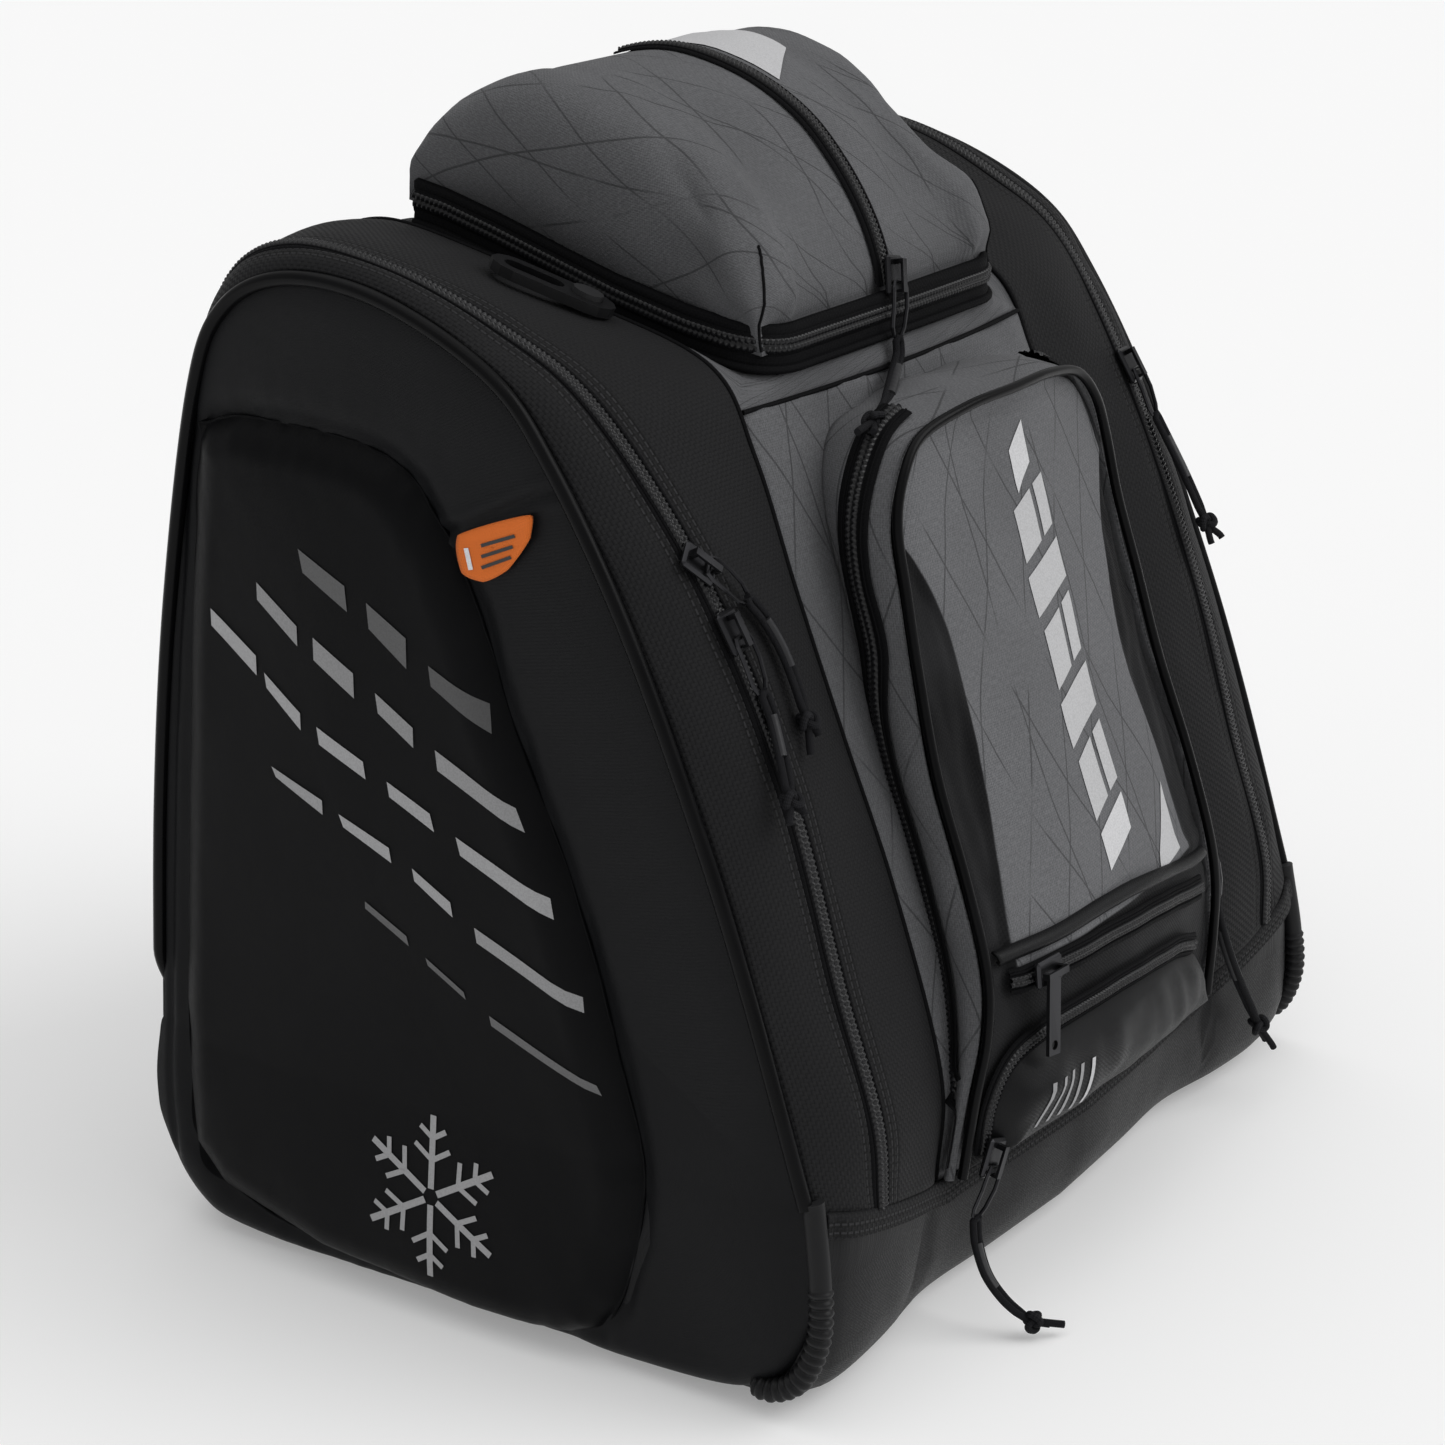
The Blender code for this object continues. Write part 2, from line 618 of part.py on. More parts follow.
def make_pocket_zips():
    face_ribbon("slash_zip", SLASH_ROUTE, 0.0080, 0.0034)
    face_ribbon("lower_pocket_zip", LOWER_ROUTE, 0.0080, 0.0034)
    line = pocket_edge_line(36)
    for side, word in ((-1, "left"), (1, "right")):
        span = [p for p in line if p.x * side > 0.070 and p.z > 0.105]
        middle = []
        for p in span:
            root = Vector((p.x * 0.985, front_surface(p.x, p.z), p.z))
            middle.append(root.lerp(p + Vector((side * 0.004, 0, 0)), 0.5))
        normals = [Vector((side, 0.0, 0.0))] * len(middle)
        sheet("pocket_zip_" + word, ribbon_rows(middle, normals, 0.0080, 0.0040), zip_plastic(),
              0.0024, outside=Vector((side, 0, 0)))


# ---- zip sliders and their pulls ----------------------------------------------------------
# All heights are above the zip's surface, distances run from the slider's middle.
PLATE = (0.0090, 0.0055, 0.0012, 0.0042)     # half length, half width, underside, top
BRIDGE = [(-0.0072, 0.0038), (-0.0072, 0.0082), (0.0062, 0.0082), (0.0062, 0.0048),
          (0.0050, 0.0048), (0.0050, 0.0070), (-0.0052, 0.0070), (-0.0052, 0.0038)]
BRIDGE_HALF = 0.0014
PIVOT = (0.0020, 0.0056)                     # along the pull, above the zip
RING = [(0.0020, 0.0), (0.0020, 0.0038), (0.0045, 0.0046), (0.0120, 0.0048), (0.0200, 0.0042),
        (0.0236, 0.0024), (0.0245, 0.0)]
RING_WIRE = 0.00085
CORD_RADIUS = 0.0016
SLEEVE_RADIUS = 0.0023
KNOT_RADIUS = 0.0044


def axes_at(spot, along, normal):
    """Frame whose X runs along the pull and Z out of the surface."""
    z = Vector(normal).normalized()
    x = Vector(along)
    x = (x - z * x.dot(z)).normalized()
    y = z.cross(x)
    return Matrix(((x.x, y.x, z.x, spot[0]), (x.y, y.y, z.y, spot[1]),
                   (x.z, y.z, z.z, spot[2]), (0, 0, 0, 1)))


def slider(name, frame):
    """Slider body with the hooked bridge that its pull hangs in."""
    half, wide, low, top = PLATE
    body = box(name, (-half, -wide, low), (half - 0.0015, wide, top), steel(), 0.0011)
    mesh = bpy.data.meshes.new(name + "_bridge")
    bm = bmesh.new()
    ring = [bm.verts.new((a, -BRIDGE_HALF, h)) for a, h in BRIDGE]
    face = bm.faces.new(ring)
    grown = bmesh.ops.extrude_face_region(bm, geom=[face])
    moved = [v for v in grown["geom"] if isinstance(v, bmesh.types.BMVert)]
    bmesh.ops.translate(bm, verts=moved, vec=(0, 2 * BRIDGE_HALF, 0))
    bmesh.ops.recalc_face_normals(bm, faces=bm.faces)
    bm.to_mesh(mesh)
    bm.free()
    bridge = bpy.data.objects.new(name + "_bridge", mesh)
    bpy.context.scene.collection.objects.link(bridge)
    bridge.hide_render = True
    bridge.display_type = "WIRE"
    join = body.modifiers.new("bridge", "BOOLEAN")
    join.operation = "UNION"
    join.object = bridge
    body.matrix_world = frame
    bridge.matrix_world = frame


def ring_height(a):
    """The ring lies level over the slider, then drops towards the cloth."""
    return PIVOT[1] if a < 0.010 else PIVOT[1] - (a - 0.010) * 0.17


def at_pivot(frame):
    return frame @ Matrix.Translation((PIVOT[0], 0, PIVOT[1]))


def wire_ring(name, frame):
    """Wire loop, drawn about its pivot in the slider's bridge."""
    near = [(a, s) for a, s in RING] + [(a, -s) for a, s in reversed(RING[1:-1])]
    points = [frame @ Vector((a, s, ring_height(a))) for a, s in near]
    ring = tube(name, points, RING_WIRE, steel(), cyclic=True, resolution=1)
    set_origin(ring, at_pivot(frame))


def pull_cord(name, frame, sleeve=(0.12, 0.50), knot=0.84):
    """Cord from the ring: plain, then a shrink sleeve, then a knot and its tail."""
    route = [frame @ Vector(p) for p in CORDS[name]]
    length = sum((Vector(b) - Vector(a)).length for a, b in zip(route, route[1:]))
    steps = max(int(length / 0.0055), 8)
    made = tube(name, smooth_line(route, steps), CORD_RADIUS, cord_cloth())
    for i, point in enumerate(made.data.splines[0].points):
        f = i / steps
        if sleeve[0] <= f <= sleeve[1]:
            point.radius = SLEEVE_RADIUS / CORD_RADIUS
        if abs(f - knot) < 0.09:
            point.radius = KNOT_RADIUS / CORD_RADIUS
    set_origin(made, at_pivot(frame))


def flat_tab(name, frame):
    """Flat tab with a hole near its end, hanging beside the bridge."""
    tab = box(name, (-0.0010, -0.0038, -0.0008), (0.0300, 0.0038, 0.0008), steel())
    mesh = bpy.data.meshes.new(name + "_hole")
    bm = bmesh.new()
    bmesh.ops.create_cone(bm, cap_ends=True, segments=12, radius1=0.0020, radius2=0.0020,
                          depth=0.01, matrix=Matrix.Translation((0.0260, 0, 0)))
    bm.to_mesh(mesh)
    bm.free()
    hole = bpy.data.objects.new(name + "_hole", mesh)
    bpy.context.scene.collection.objects.link(hole)
    hole.hide_render = True
    hole.display_type = "WIRE"
    cut = tab.modifiers.new("hole", "BOOLEAN")
    cut.operation = "DIFFERENCE"
    cut.object = hole
    tab.matrix_world = frame
    hole.matrix_world = frame


# Pulls of the main zips: side of the bag, height on the zip, lean towards the seam in degrees.
MAIN_PULLS = {"left_upper": (-1, 0.3150, 36.0), "left_lower": (-1, 0.2905, 2.0),
              "right_main": (1, 0.3200, -8.0)}
# The others: place on the zip, the way the pull hangs, the surface's outward normal.
PULLS = {
    "lid": ((0.0, -0.0742, 0.3890), (-0.22, -0.15, -0.97), (0.0, -0.98, 0.20)),
    "pocket_right": ((0.1040, -0.1745, 0.1280), (0.42, -0.16, -0.90), (0.90, -0.35, 0.25)),
    "lower_pocket": ((-0.0955, -0.1822, 0.0680), (-0.30, 0.06, -0.95), (-0.10, -0.99, -0.10)),
}
SLASH_PULL = ((-0.0660, -0.1885, 0.1385), (-0.10, 0.10, -1.0), (-0.10, -0.97, 0.10))
SLASH_PIVOT = (0.0032, 0.0, 0.0058)
# Route of each cord from its ring, by hand: along the pull, sideways, above the surface.
CORDS = {
    "left_upper_cord": [(0.0258, 0.0, 0.0036), (0.034, -0.0020, 0.0032), (0.045, -0.0070, 0.0024),
                        (0.056, -0.0150, 0.0012), (0.067, -0.0255, 0.0), (0.074, -0.0340, -0.0010)],
    "left_lower_cord": [(0.0258, 0.0, 0.0036), (0.034, -0.0010, 0.0036), (0.044, -0.0045, 0.0040),
                        (0.054, -0.0088, 0.0044), (0.062, -0.0128, 0.0050), (0.070, -0.0165, 0.0056)],
    "right_main_cord": [(0.0258, 0.0, 0.0036), (0.038, -0.0008, 0.0040), (0.050, -0.0022, 0.0046),
                        (0.062, -0.0040, 0.0050), (0.076, -0.0062, 0.0052), (0.086, -0.0070, 0.0052)],
    "lid_cord": [(0.0258, 0.0, 0.0036), (0.031, -0.0010, 0.0042), (0.038, -0.009, 0.0070),
                 (0.045, -0.022, 0.0130), (0.052, -0.037, 0.0200), (0.059, -0.053, 0.0250),
                 (0.064, -0.066, 0.0275)],
    "pocket_right_cord": [(0.0258, 0.0, 0.0036), (0.038, 0.0, 0.0044), (0.054, 0.0005, 0.0068),
                          (0.070, 0.0015, 0.0105), (0.088, 0.0026, 0.0156), (0.106, 0.0036, 0.0210),
                          (0.114, 0.0040, 0.0235)],
    "lower_pocket_cord": [(0.0258, 0.0, 0.0036), (0.034, 0.0005, 0.0070), (0.044, 0.0020, 0.0140),
                          (0.051, 0.0055, 0.0220), (0.055, 0.0095, 0.0290), (0.0565, 0.0130, 0.0340),
                          (0.0555, 0.0190, 0.0400)],
}


def main_zip_frame(side, height, lean):
    """Frame of a main zip's pull where the zip's front stretch reaches a height."""
    edge, zips, seam = arch_lines(side)
    i = next(k for k in range(len(zips) - 1) if zips[k].z <= height <= zips[k + 1].z)
    f = (height - zips[i].z) / (zips[i + 1].z - zips[i].z)
    spot = zips[i].lerp(zips[i + 1], f)
    down = (zips[i] - zips[i + 1]).normalized()
    inward = seam[i] - edge[i]
    normal = outward(down, inward, spot)
    inward = (inward - down * inward.dot(down)).normalized()
    turn = math.radians(lean)
    return axes_at(spot, down * math.cos(turn) + inward * math.sin(turn), normal)


def make_pulls():
    frames = {word: main_zip_frame(*place) for word, place in MAIN_PULLS.items()}
    frames.update({word: axes_at(*place) for word, place in PULLS.items()})
    for word, frame in frames.items():
        slider(word + "_slider", frame)
        wire_ring(word + "_ring", frame)
        pull_cord(word + "_cord", frame)
    slider("slash_slider", axes_at(SLASH_PULL[0], (-1.0, 0.0, 0.0), SLASH_PULL[2]))
    flat_tab("slash_tab", axes_at(*SLASH_PULL) @ Matrix.Translation(SLASH_PIVOT))


# ---- cable port, handle and straps --------------------------------------------------------
PORT_REAR = Vector((-0.146, 0.017, 0.4035))
PORT_FRONT = Vector((-0.124, -0.024, 0.3880))
PORT_NORMAL = Vector((0.20, -0.366, 1.0))
PORT_HALF = (0.0255, 0.0105)
PORT_LIFT = 0.0042
PORT_TALL = 0.0040
PLUG_RADIUS = 0.0062
PLUG_AT = 0.0135


def slot_outline(half_long, half_wide, middle, arc=6):
    """Rounded slot about (middle, 0), as (x, y) points."""
    ends = []
    for sign in (1, -1):
        for k in range(arc + 1):
            a = math.pi * (k / arc - 0.5) + (0 if sign > 0 else math.pi)
            ends.append((middle + sign * (half_long - half_wide) + half_wide * math.cos(a),
                         half_wide * math.sin(a)))
    return ends


def prism(name, outline, low, high, surface):
    mesh = bpy.data.meshes.new(name)
    bm = bmesh.new()
    face = bm.faces.new([bm.verts.new((x, y, low)) for x, y in outline])
    grown = bmesh.ops.extrude_face_region(bm, geom=[face])
    moved = [v for v in grown["geom"] if isinstance(v, bmesh.types.BMVert)]
    bmesh.ops.translate(bm, verts=moved, vec=(0, 0, high - low))
    bmesh.ops.recalc_face_normals(bm, faces=bm.faces)
    bm.to_mesh(mesh)
    bm.free()
    return add_object(name, mesh, surface)


def make_port():
    frame = axes_at((PORT_REAR + PORT_FRONT) / 2, PORT_FRONT - PORT_REAR, PORT_NORMAL)
    top = PORT_LIFT + PORT_TALL
    port = prism("cable_port", slot_outline(*PORT_HALF, 0.0), PORT_LIFT, top, zip_plastic())
    port.matrix_world = frame
    holes = (("port_slot", slot_outline(0.0125, 0.0048, -0.0080)),
             ("port_socket", slot_outline(PLUG_RADIUS + 0.0004, PLUG_RADIUS + 0.0003, PLUG_AT)))
    for name, outline in holes:
        cutter = prism(name, outline, PORT_LIFT - 0.002, top + 0.002, zip_plastic())
        cutter.matrix_world = frame
        cutter.hide_render = True
        cutter.display_type = "WIRE"
        cut = port.modifiers.new(name, "BOOLEAN")
        cut.operation = "DIFFERENCE"
        cut.object = cutter
    plug = prism("cable_plug", slot_outline(PLUG_RADIUS + 0.0001, PLUG_RADIUS, PLUG_AT),
                 PORT_LIFT + 0.0004, top + 0.0022, rubber())
    plug.matrix_world = frame


def make_handle():
    route = [(-0.048, 0.356), (-0.041, 0.372), (-0.020, 0.3825), (0.020, 0.3825), (0.041, 0.372),
             (0.048, 0.356)]
    rows = [[Vector((x, y, z)) for y in (0.160, 0.172, 0.184)] for x, z in smooth_line(route, 14)]
    sheet("haul_handle", rows, ballistic(), 0.0035, outside=Vector((0, 0, 1)))


def make_strap(side, word):
    """Padded shoulder strap, standing off the back pad in a bow."""
    route = [(0.055, 0.1875, 0.347), (0.058, 0.1945, 0.320), (0.064, 0.2020, 0.270),
             (0.072, 0.2028, 0.215), (0.080, 0.1975, 0.165), (0.087, 0.1900, 0.120),
             (0.090, 0.1880, 0.098)]
    rows = []
    line = smooth_line(route, 14)
    for i, p in enumerate(line):
        half = 0.029 - 0.008 * i / (len(line) - 1)
        rows.append([Vector((side * (p.x + half * s), p.y - 0.002 * s * s, p.z))
                     for s in (-1.0, 0.0, 1.0)])
    sheet("shoulder_strap_" + word, rows, foam_mesh(), 0.009, outside=Vector((0, 1, 0)))


def main():
    clear_scene()
    make_base()
    make_front_and_back()
    make_collar()
    for side, word in ((-1, "left"), (1, "right")):
        make_guard(side, word)
        make_side(side, word)
        make_heater(side, word)
        make_strap(side, word)
    make_lid()
    make_pocket()
    make_pocket_zips()
    make_pulls()
    make_port()
    make_handle()


main()
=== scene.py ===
"""Looks of the ski boot bag: cloth, zips, piping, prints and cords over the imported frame."""
import math

import bmesh
import bpy
import numpy as np
from mathutils import Matrix, Vector, noise
from mathutils.bvhtree import BVHTree


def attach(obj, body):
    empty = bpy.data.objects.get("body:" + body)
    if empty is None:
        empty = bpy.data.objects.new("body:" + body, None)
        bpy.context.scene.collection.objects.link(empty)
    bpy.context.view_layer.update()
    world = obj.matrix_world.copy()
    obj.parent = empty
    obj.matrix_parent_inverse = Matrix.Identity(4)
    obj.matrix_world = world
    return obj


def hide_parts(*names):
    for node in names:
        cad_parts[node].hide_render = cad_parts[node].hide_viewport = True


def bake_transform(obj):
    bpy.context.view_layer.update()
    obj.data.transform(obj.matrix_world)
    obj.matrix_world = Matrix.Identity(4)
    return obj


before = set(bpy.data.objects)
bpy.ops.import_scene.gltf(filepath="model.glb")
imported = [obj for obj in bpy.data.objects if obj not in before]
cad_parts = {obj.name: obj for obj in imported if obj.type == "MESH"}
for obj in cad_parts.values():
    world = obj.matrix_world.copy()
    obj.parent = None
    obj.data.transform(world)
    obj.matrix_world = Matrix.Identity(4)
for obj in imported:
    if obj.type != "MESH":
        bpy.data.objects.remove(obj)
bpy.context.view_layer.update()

SIDES = ((-1, "left"), (1, "right"))
MIDDLE = np.array((0.0, -0.01, 0.20))
CLOTH_THICK = 0.0014
HEAVY_THICK = 0.0016
SKIN_THICK = 0.0012
CORD_RADIUS = 0.0015

# ---- camera, light, floor -----------------------------------------------------------------


def make_camera():
    data = bpy.data.cameras.new("camera")
    data.lens = 86.87
    data.sensor_width = 36.0
    camera = bpy.data.objects.new("camera", data)
    camera.location = (-1.18616, -0.77957, 0.68024)
    camera.rotation_euler = (math.radians(90 - 19.194), 0, math.radians(-56.504))
    bpy.context.scene.collection.objects.link(camera)
    bpy.context.scene.camera = camera


def sun(name, spot, power, angle):
    data = bpy.data.lights.new(name, "SUN")
    data.energy = power
    data.angle = math.radians(angle)
    lamp = bpy.data.objects.new(name, data)
    lamp.rotation_euler = Vector(spot).to_track_quat("Z", "Y").to_euler()
    bpy.context.scene.collection.objects.link(lamp)


def make_studio():
    scene = bpy.context.scene
    scene.view_settings.view_transform = "Standard"
    scene.view_settings.look = "None"
    world = bpy.data.worlds.new("studio")
    world.use_nodes = True
    plug(world.node_tree, world.node_tree.nodes["Background"], _0=(0.92, 0.92, 0.92, 1), _1=0.42)
    scene.world = world
    sun("key", (0.55, -1.0, 1.0), 1.20, 45)
    sun("left_fill", (-1.0, -0.2, 0.7), 0.10, 60)
    sun("top", (0.0, 0.1, 1.0), 0.72, 70)
    mesh = bpy.data.meshes.new("floor")
    mesh.from_pydata([(-30, -30, 0), (30, -30, 0), (30, 30, 0), (-30, 30, 0)], [], [(0, 1, 2, 3)])
    floor = bpy.data.objects.new("floor", mesh)
    floor.location.z = -0.0006
    scene.collection.objects.link(floor)
    pale, tree, bsdf = fresh("floor_paper")
    plug(tree, bsdf, Base_Color=(0.78, 0.78, 0.78, 1), Roughness=1.0, Specular_IOR_Level=0.0,
         Emission_Color=(1, 1, 1, 1), Emission_Strength=0.25)
    mesh.materials.append(pale)


# ---- shader helpers -----------------------------------------------------------------------


def plug(tree, made, **ins):
    """Set or link a node's inputs: by name, with _ for a space, or by place as _0, _1."""
    for key, value in ins.items():
        socket = made.inputs[int(key[1:])] if key[0] == "_" else made.inputs[key.replace("_", " ")]
        if isinstance(value, bpy.types.NodeSocket):
            tree.links.new(value, socket)
        else:
            socket.default_value = value


def node(tree, kind, props=None, **ins):
    made = tree.nodes.new("ShaderNode" + kind)
    for key, value in (props or {}).items():
        setattr(made, key, value)
    plug(tree, made, **ins)
    return made


def calc(tree, op, a, b=0.0, c=0.0):
    return node(tree, "Math", {"operation": op}, _0=a, _1=b, _2=c).outputs[0]


def smooth_map(tree, value, low, high, out_low=0.0, out_high=1.0):
    return node(tree, "MapRange", {"interpolation_type": "SMOOTHSTEP"}, _0=value, _1=low,
                _2=high, _3=out_low, _4=out_high).outputs[0]


def mix_colour(tree, fac, a, b):
    return node(tree, "Mix", {"data_type": "RGBA"}, _0=fac, _6=a, _7=b).outputs[2]


def scaled(colour, f):
    return tuple(c * f for c in colour)


def toned(colour, f):
    """A colour made lighter or darker, with its alpha."""
    return (*scaled(colour, f), 1.0)


def woven_uv(tree):
    """The UV vector and its two parts: u along the piece and v across it."""
    uv = node(tree, "UVMap").outputs[0]
    split = node(tree, "SeparateXYZ", Vector=uv)
    return uv, split.outputs[0], split.outputs[1]


def fresh(name):
    made = bpy.data.materials.new(name)
    made.use_nodes = True
    return made, made.node_tree, made.node_tree.nodes["Principled BSDF"]


def line_mask(tree, u, v, turn, spacing, width, wander):
    """Thin lines at an angle, a spacing apart, that wander a little."""
    across = calc(tree, "ADD", calc(tree, "MULTIPLY", u, math.cos(turn)),
                  calc(tree, "MULTIPLY", v, math.sin(turn)))
    across = calc(tree, "ADD", across, wander)
    fold = calc(tree, "PINGPONG", across, spacing / 2)
    return smooth_map(tree, fold, width * 0.4, width, 1.0, 0.0)


def cloth(name, colour, rough, pitch, depth, heather=0.0, lattice=False, stitches=(), sheen=0.25,
          blotch=0.15, second=None, gloss=0.12):
    """Woven cloth: threads of a pitch over and under each other, with stitch rows if asked."""
    made, tree, bsdf = fresh(name)
    uv, u, v = woven_uv(tree)
    rise_u = calc(tree, "ABSOLUTE", calc(tree, "SINE", calc(tree, "MULTIPLY", u, math.pi / pitch)))
    rise_v = calc(tree, "ABSOLUTE", calc(tree, "SINE", calc(tree, "MULTIPLY", v, math.pi / pitch)))
    over = node(tree, "TexChecker", Vector=uv, Scale=1 / pitch).outputs[1]
    warp = calc(tree, "MULTIPLY", rise_u, over)
    weft = calc(tree, "MULTIPLY", rise_v, calc(tree, "SUBTRACT", 1.0, over))
    height = calc(tree, "POWER", calc(tree, "ADD", warp, weft), 0.6)
    place = node(tree, "TexCoord").outputs["Object"]
    patch = node(tree, "TexNoise", Vector=place, Scale=14.0, Detail=3.0).outputs[0]
    grain = node(tree, "TexNoise", Vector=uv, Scale=900.0, Detail=2.0).outputs[0]
    # painted shade and highlight: the weave's tone is darker in the hollows between threads and lighter
    # on their raised tops
    tone = mix_colour(tree, smooth_map(tree, height, 0.0, 0.9), toned(colour, 0.55),
                      toned(colour, 1.12))
    if heather:
        fleck = node(tree, "TexNoise", Vector=node(tree, "Mapping", Vector=uv,
                                                   Scale=(500, 1700, 1)).outputs[0],
                     Scale=1.0, Detail=2.0).outputs[0]
        tone = mix_colour(tree, calc(tree, "MULTIPLY", smooth_map(tree, fleck, 0.42, 0.62), heather),
                          tone, toned(colour, 1.9))
    if second is not None:
        tone, mask = second(tree, tone)
    tone = mix_colour(tree, calc(tree, "MULTIPLY", smooth_map(tree, patch, 0.35, 0.7), blotch),
                      tone, toned(colour, 0.55))
    if lattice:
        wander = calc(tree, "MULTIPLY", calc(tree, "SUBTRACT", node(
            tree, "TexNoise", Vector=uv, Scale=7.0, Detail=1.0).outputs[0], 0.5), 0.016)
        lines = None
        for turn, spacing in ((1.12, 0.027), (-1.16, 0.025), (1.45, 0.058)):
            one = line_mask(tree, u, v, turn, spacing, 0.0006, wander)
            lines = one if lines is None else calc(tree, "MAXIMUM", lines, one)
        fade = smooth_map(tree, node(tree, "TexNoise", Vector=uv, Scale=18.0).outputs[0], 0.36, 0.50)
        lines = calc(tree, "MULTIPLY", calc(tree, "MULTIPLY", lines, fade), 0.62)
        if second is not None:
            lines = calc(tree, "MULTIPLY", lines, mask)
        tone = mix_colour(tree, lines, tone, toned(colour, 0.25))
        height = calc(tree, "SUBTRACT", height, calc(tree, "MULTIPLY", lines, 0.6))
    for offset in stitches:
        near = smooth_map(tree, calc(tree, "ABSOLUTE", calc(tree, "SUBTRACT", v, offset)),
                          0.0003, 0.0006, 1.0, 0.0)
        dash = smooth_map(tree, calc(tree, "PINGPONG", u, 0.0017), 0.0003, 0.0006)
        seam = calc(tree, "MULTIPLY", near, dash)
        groove = smooth_map(tree, calc(tree, "ABSOLUTE", calc(tree, "SUBTRACT", v, offset)),
                            0.0004, 0.0022, 1.0, 0.0)
        height = calc(tree, "ADD", height, calc(tree, "SUBTRACT", calc(tree, "MULTIPLY", seam, 2.2),
                                                calc(tree, "MULTIPLY", groove, 1.6)))
        # painted shade: the sunken groove beside each stitch row is darkened
        tone = mix_colour(tree, calc(tree, "MULTIPLY", groove, 0.6), tone, (0.003, 0.003, 0.003, 1))
        tone = mix_colour(tree, calc(tree, "MULTIPLY", seam, 0.8), tone,
                          (0.03, 0.03, 0.032, 1))
    bump = node(tree, "Bump", Height=height, Strength=0.55, Distance=depth)
    wave = node(tree, "TexNoise", Vector=place, Scale=55.0, Detail=4.0).outputs[0]
    soft = node(tree, "Bump", Height=wave, Strength=0.22, Distance=0.0012,
                Normal=bump.outputs[0])
    plug(tree, bsdf, Base_Color=tone, Normal=soft.outputs[0], Sheen_Weight=sheen,
         Roughness=smooth_map(tree, grain, 0.3, 0.7, rough - 0.06, rough + 0.08),
         Sheen_Roughness=0.45, Specular_IOR_Level=gloss)
    return made


def plain(name, colour, rough, metallic=0.0, grain_size=1200.0, bump_depth=0.00008, edge_wear_and_highlight=0.1,
          ripple=None, gloss=0.3):
    """Moulded, coated or metal surface with fine grain, dull patches, and sharp edges painted lighter:
    partly rubbed wear, partly painted highlight.
    """
    made, tree, bsdf = fresh(name)
    place = node(tree, "TexCoord").outputs["Object"]
    grain = node(tree, "TexNoise", Vector=place, Scale=grain_size, Detail=3.0).outputs[0]
    patch = node(tree, "TexNoise", Vector=place, Scale=26.0, Detail=4.0).outputs[0]
    edge = node(tree, "NewGeometry").outputs["Pointiness"]
    worn_and_lit_edge = calc(tree, "MULTIPLY", smooth_map(tree, edge, 0.52, 0.62), edge_wear_and_highlight)
    tone = mix_colour(tree, smooth_map(tree, patch, 0.3, 0.75), toned(colour, 0.8),
                      toned(colour, 1.2))
    # sharp edges and ridges painted lighter: rubbed wear on the metal's edges, and a painted highlight
    # on edges, rims and coil ridges
    tone = mix_colour(tree, worn_and_lit_edge, tone, (*(min(c * 3 + 0.05, 0.8) for c in colour), 1.0))
    height = grain
    if ripple:
        u = woven_uv(tree)[1]
        band = calc(tree, "SINE", calc(tree, "MULTIPLY", u, 2 * math.pi / ripple))
        height = calc(tree, "ADD", calc(tree, "MULTIPLY", grain, 0.3), band)
    bump = node(tree, "Bump", Height=height, Strength=0.5, Distance=bump_depth)
    plug(tree, bsdf, Base_Color=tone, Metallic=metallic, Specular_IOR_Level=gloss,
         Roughness=smooth_map(tree, patch, 0.3, 0.7, rough - 0.05, rough + 0.07),
         Normal=bump.outputs[0])
    return made


def braid(name, colour, pitch=0.0016):
    """Braided cord: two sets of strands that cross."""
    made, tree, bsdf = fresh(name)
    _, u, v = woven_uv(tree)
    one = calc(tree, "SINE", calc(tree, "MULTIPLY", calc(tree, "ADD", u, v), 2 * math.pi / pitch))
    two = calc(tree, "SINE", calc(tree, "MULTIPLY", calc(tree, "SUBTRACT", u, v),
                                  2 * math.pi / pitch))
    height = calc(tree, "MULTIPLY", one, two)
    # painted shade and highlight: the braid is darker where strands sink and lighter where they cross
    # on top
    tone = mix_colour(tree, smooth_map(tree, height, -1.0, 1.0), toned(colour, 0.5),
                      toned(colour, 1.3))
    bump = node(tree, "Bump", Height=height, Strength=0.6, Distance=0.0002)
    plug(tree, bsdf, Base_Color=tone, Normal=bump.outputs[0], Roughness=0.8,
         Specular_IOR_Level=0.15)
    return made


def spacer_mesh(name, colour, cell=0.0034):
    """Open padded mesh with a hole in each cell: the holes are bumped in and painted dark as painted
    shade, not cut.
    """
    made, tree, bsdf = fresh(name)
    uv = node(tree, "UVMap").outputs[0]
    holes = node(tree, "TexVoronoi", {"feature": "F1"}, Vector=uv, Scale=1 / cell,
                 Randomness=0.15).outputs["Distance"]
    rim = smooth_map(tree, holes, 0.18, 0.42)
    # painted shade: the holes are painted far darker than the rims around them
    tone = mix_colour(tree, rim, toned(colour, 0.2), toned(colour, 1.2))
    bump = node(tree, "Bump", Height=rim, Strength=0.8, Distance=0.0007)
    plug(tree, bsdf, Base_Color=tone, Normal=bump.outputs[0], Roughness=0.85,
         Specular_IOR_Level=0.12)
    return made


def printed(name, rough=0.5):
    """Screen print whose grey comes from the mesh's tone attribute."""
    made, tree, bsdf = fresh(name)
    tone = node(tree, "Attribute", {"attribute_name": "tone"}).outputs["Fac"]
    place = node(tree, "TexCoord").outputs["Object"]
    fleck = node(tree, "TexNoise", Vector=place, Scale=1400.0, Detail=2.0).outputs[0]
    value = calc(tree, "MULTIPLY", tone, smooth_map(tree, fleck, 0.25, 0.7, 0.86, 1.06))
    grey = node(tree, "CombineColor", _0=value, _1=value, _2=calc(tree, "MULTIPLY", value, 1.02))
    bump = node(tree, "Bump", Height=fleck, Strength=0.3, Distance=0.0001)
    plug(tree, bsdf, Base_Color=grey.outputs[0], Normal=bump.outputs[0], Roughness=rough)
    return made


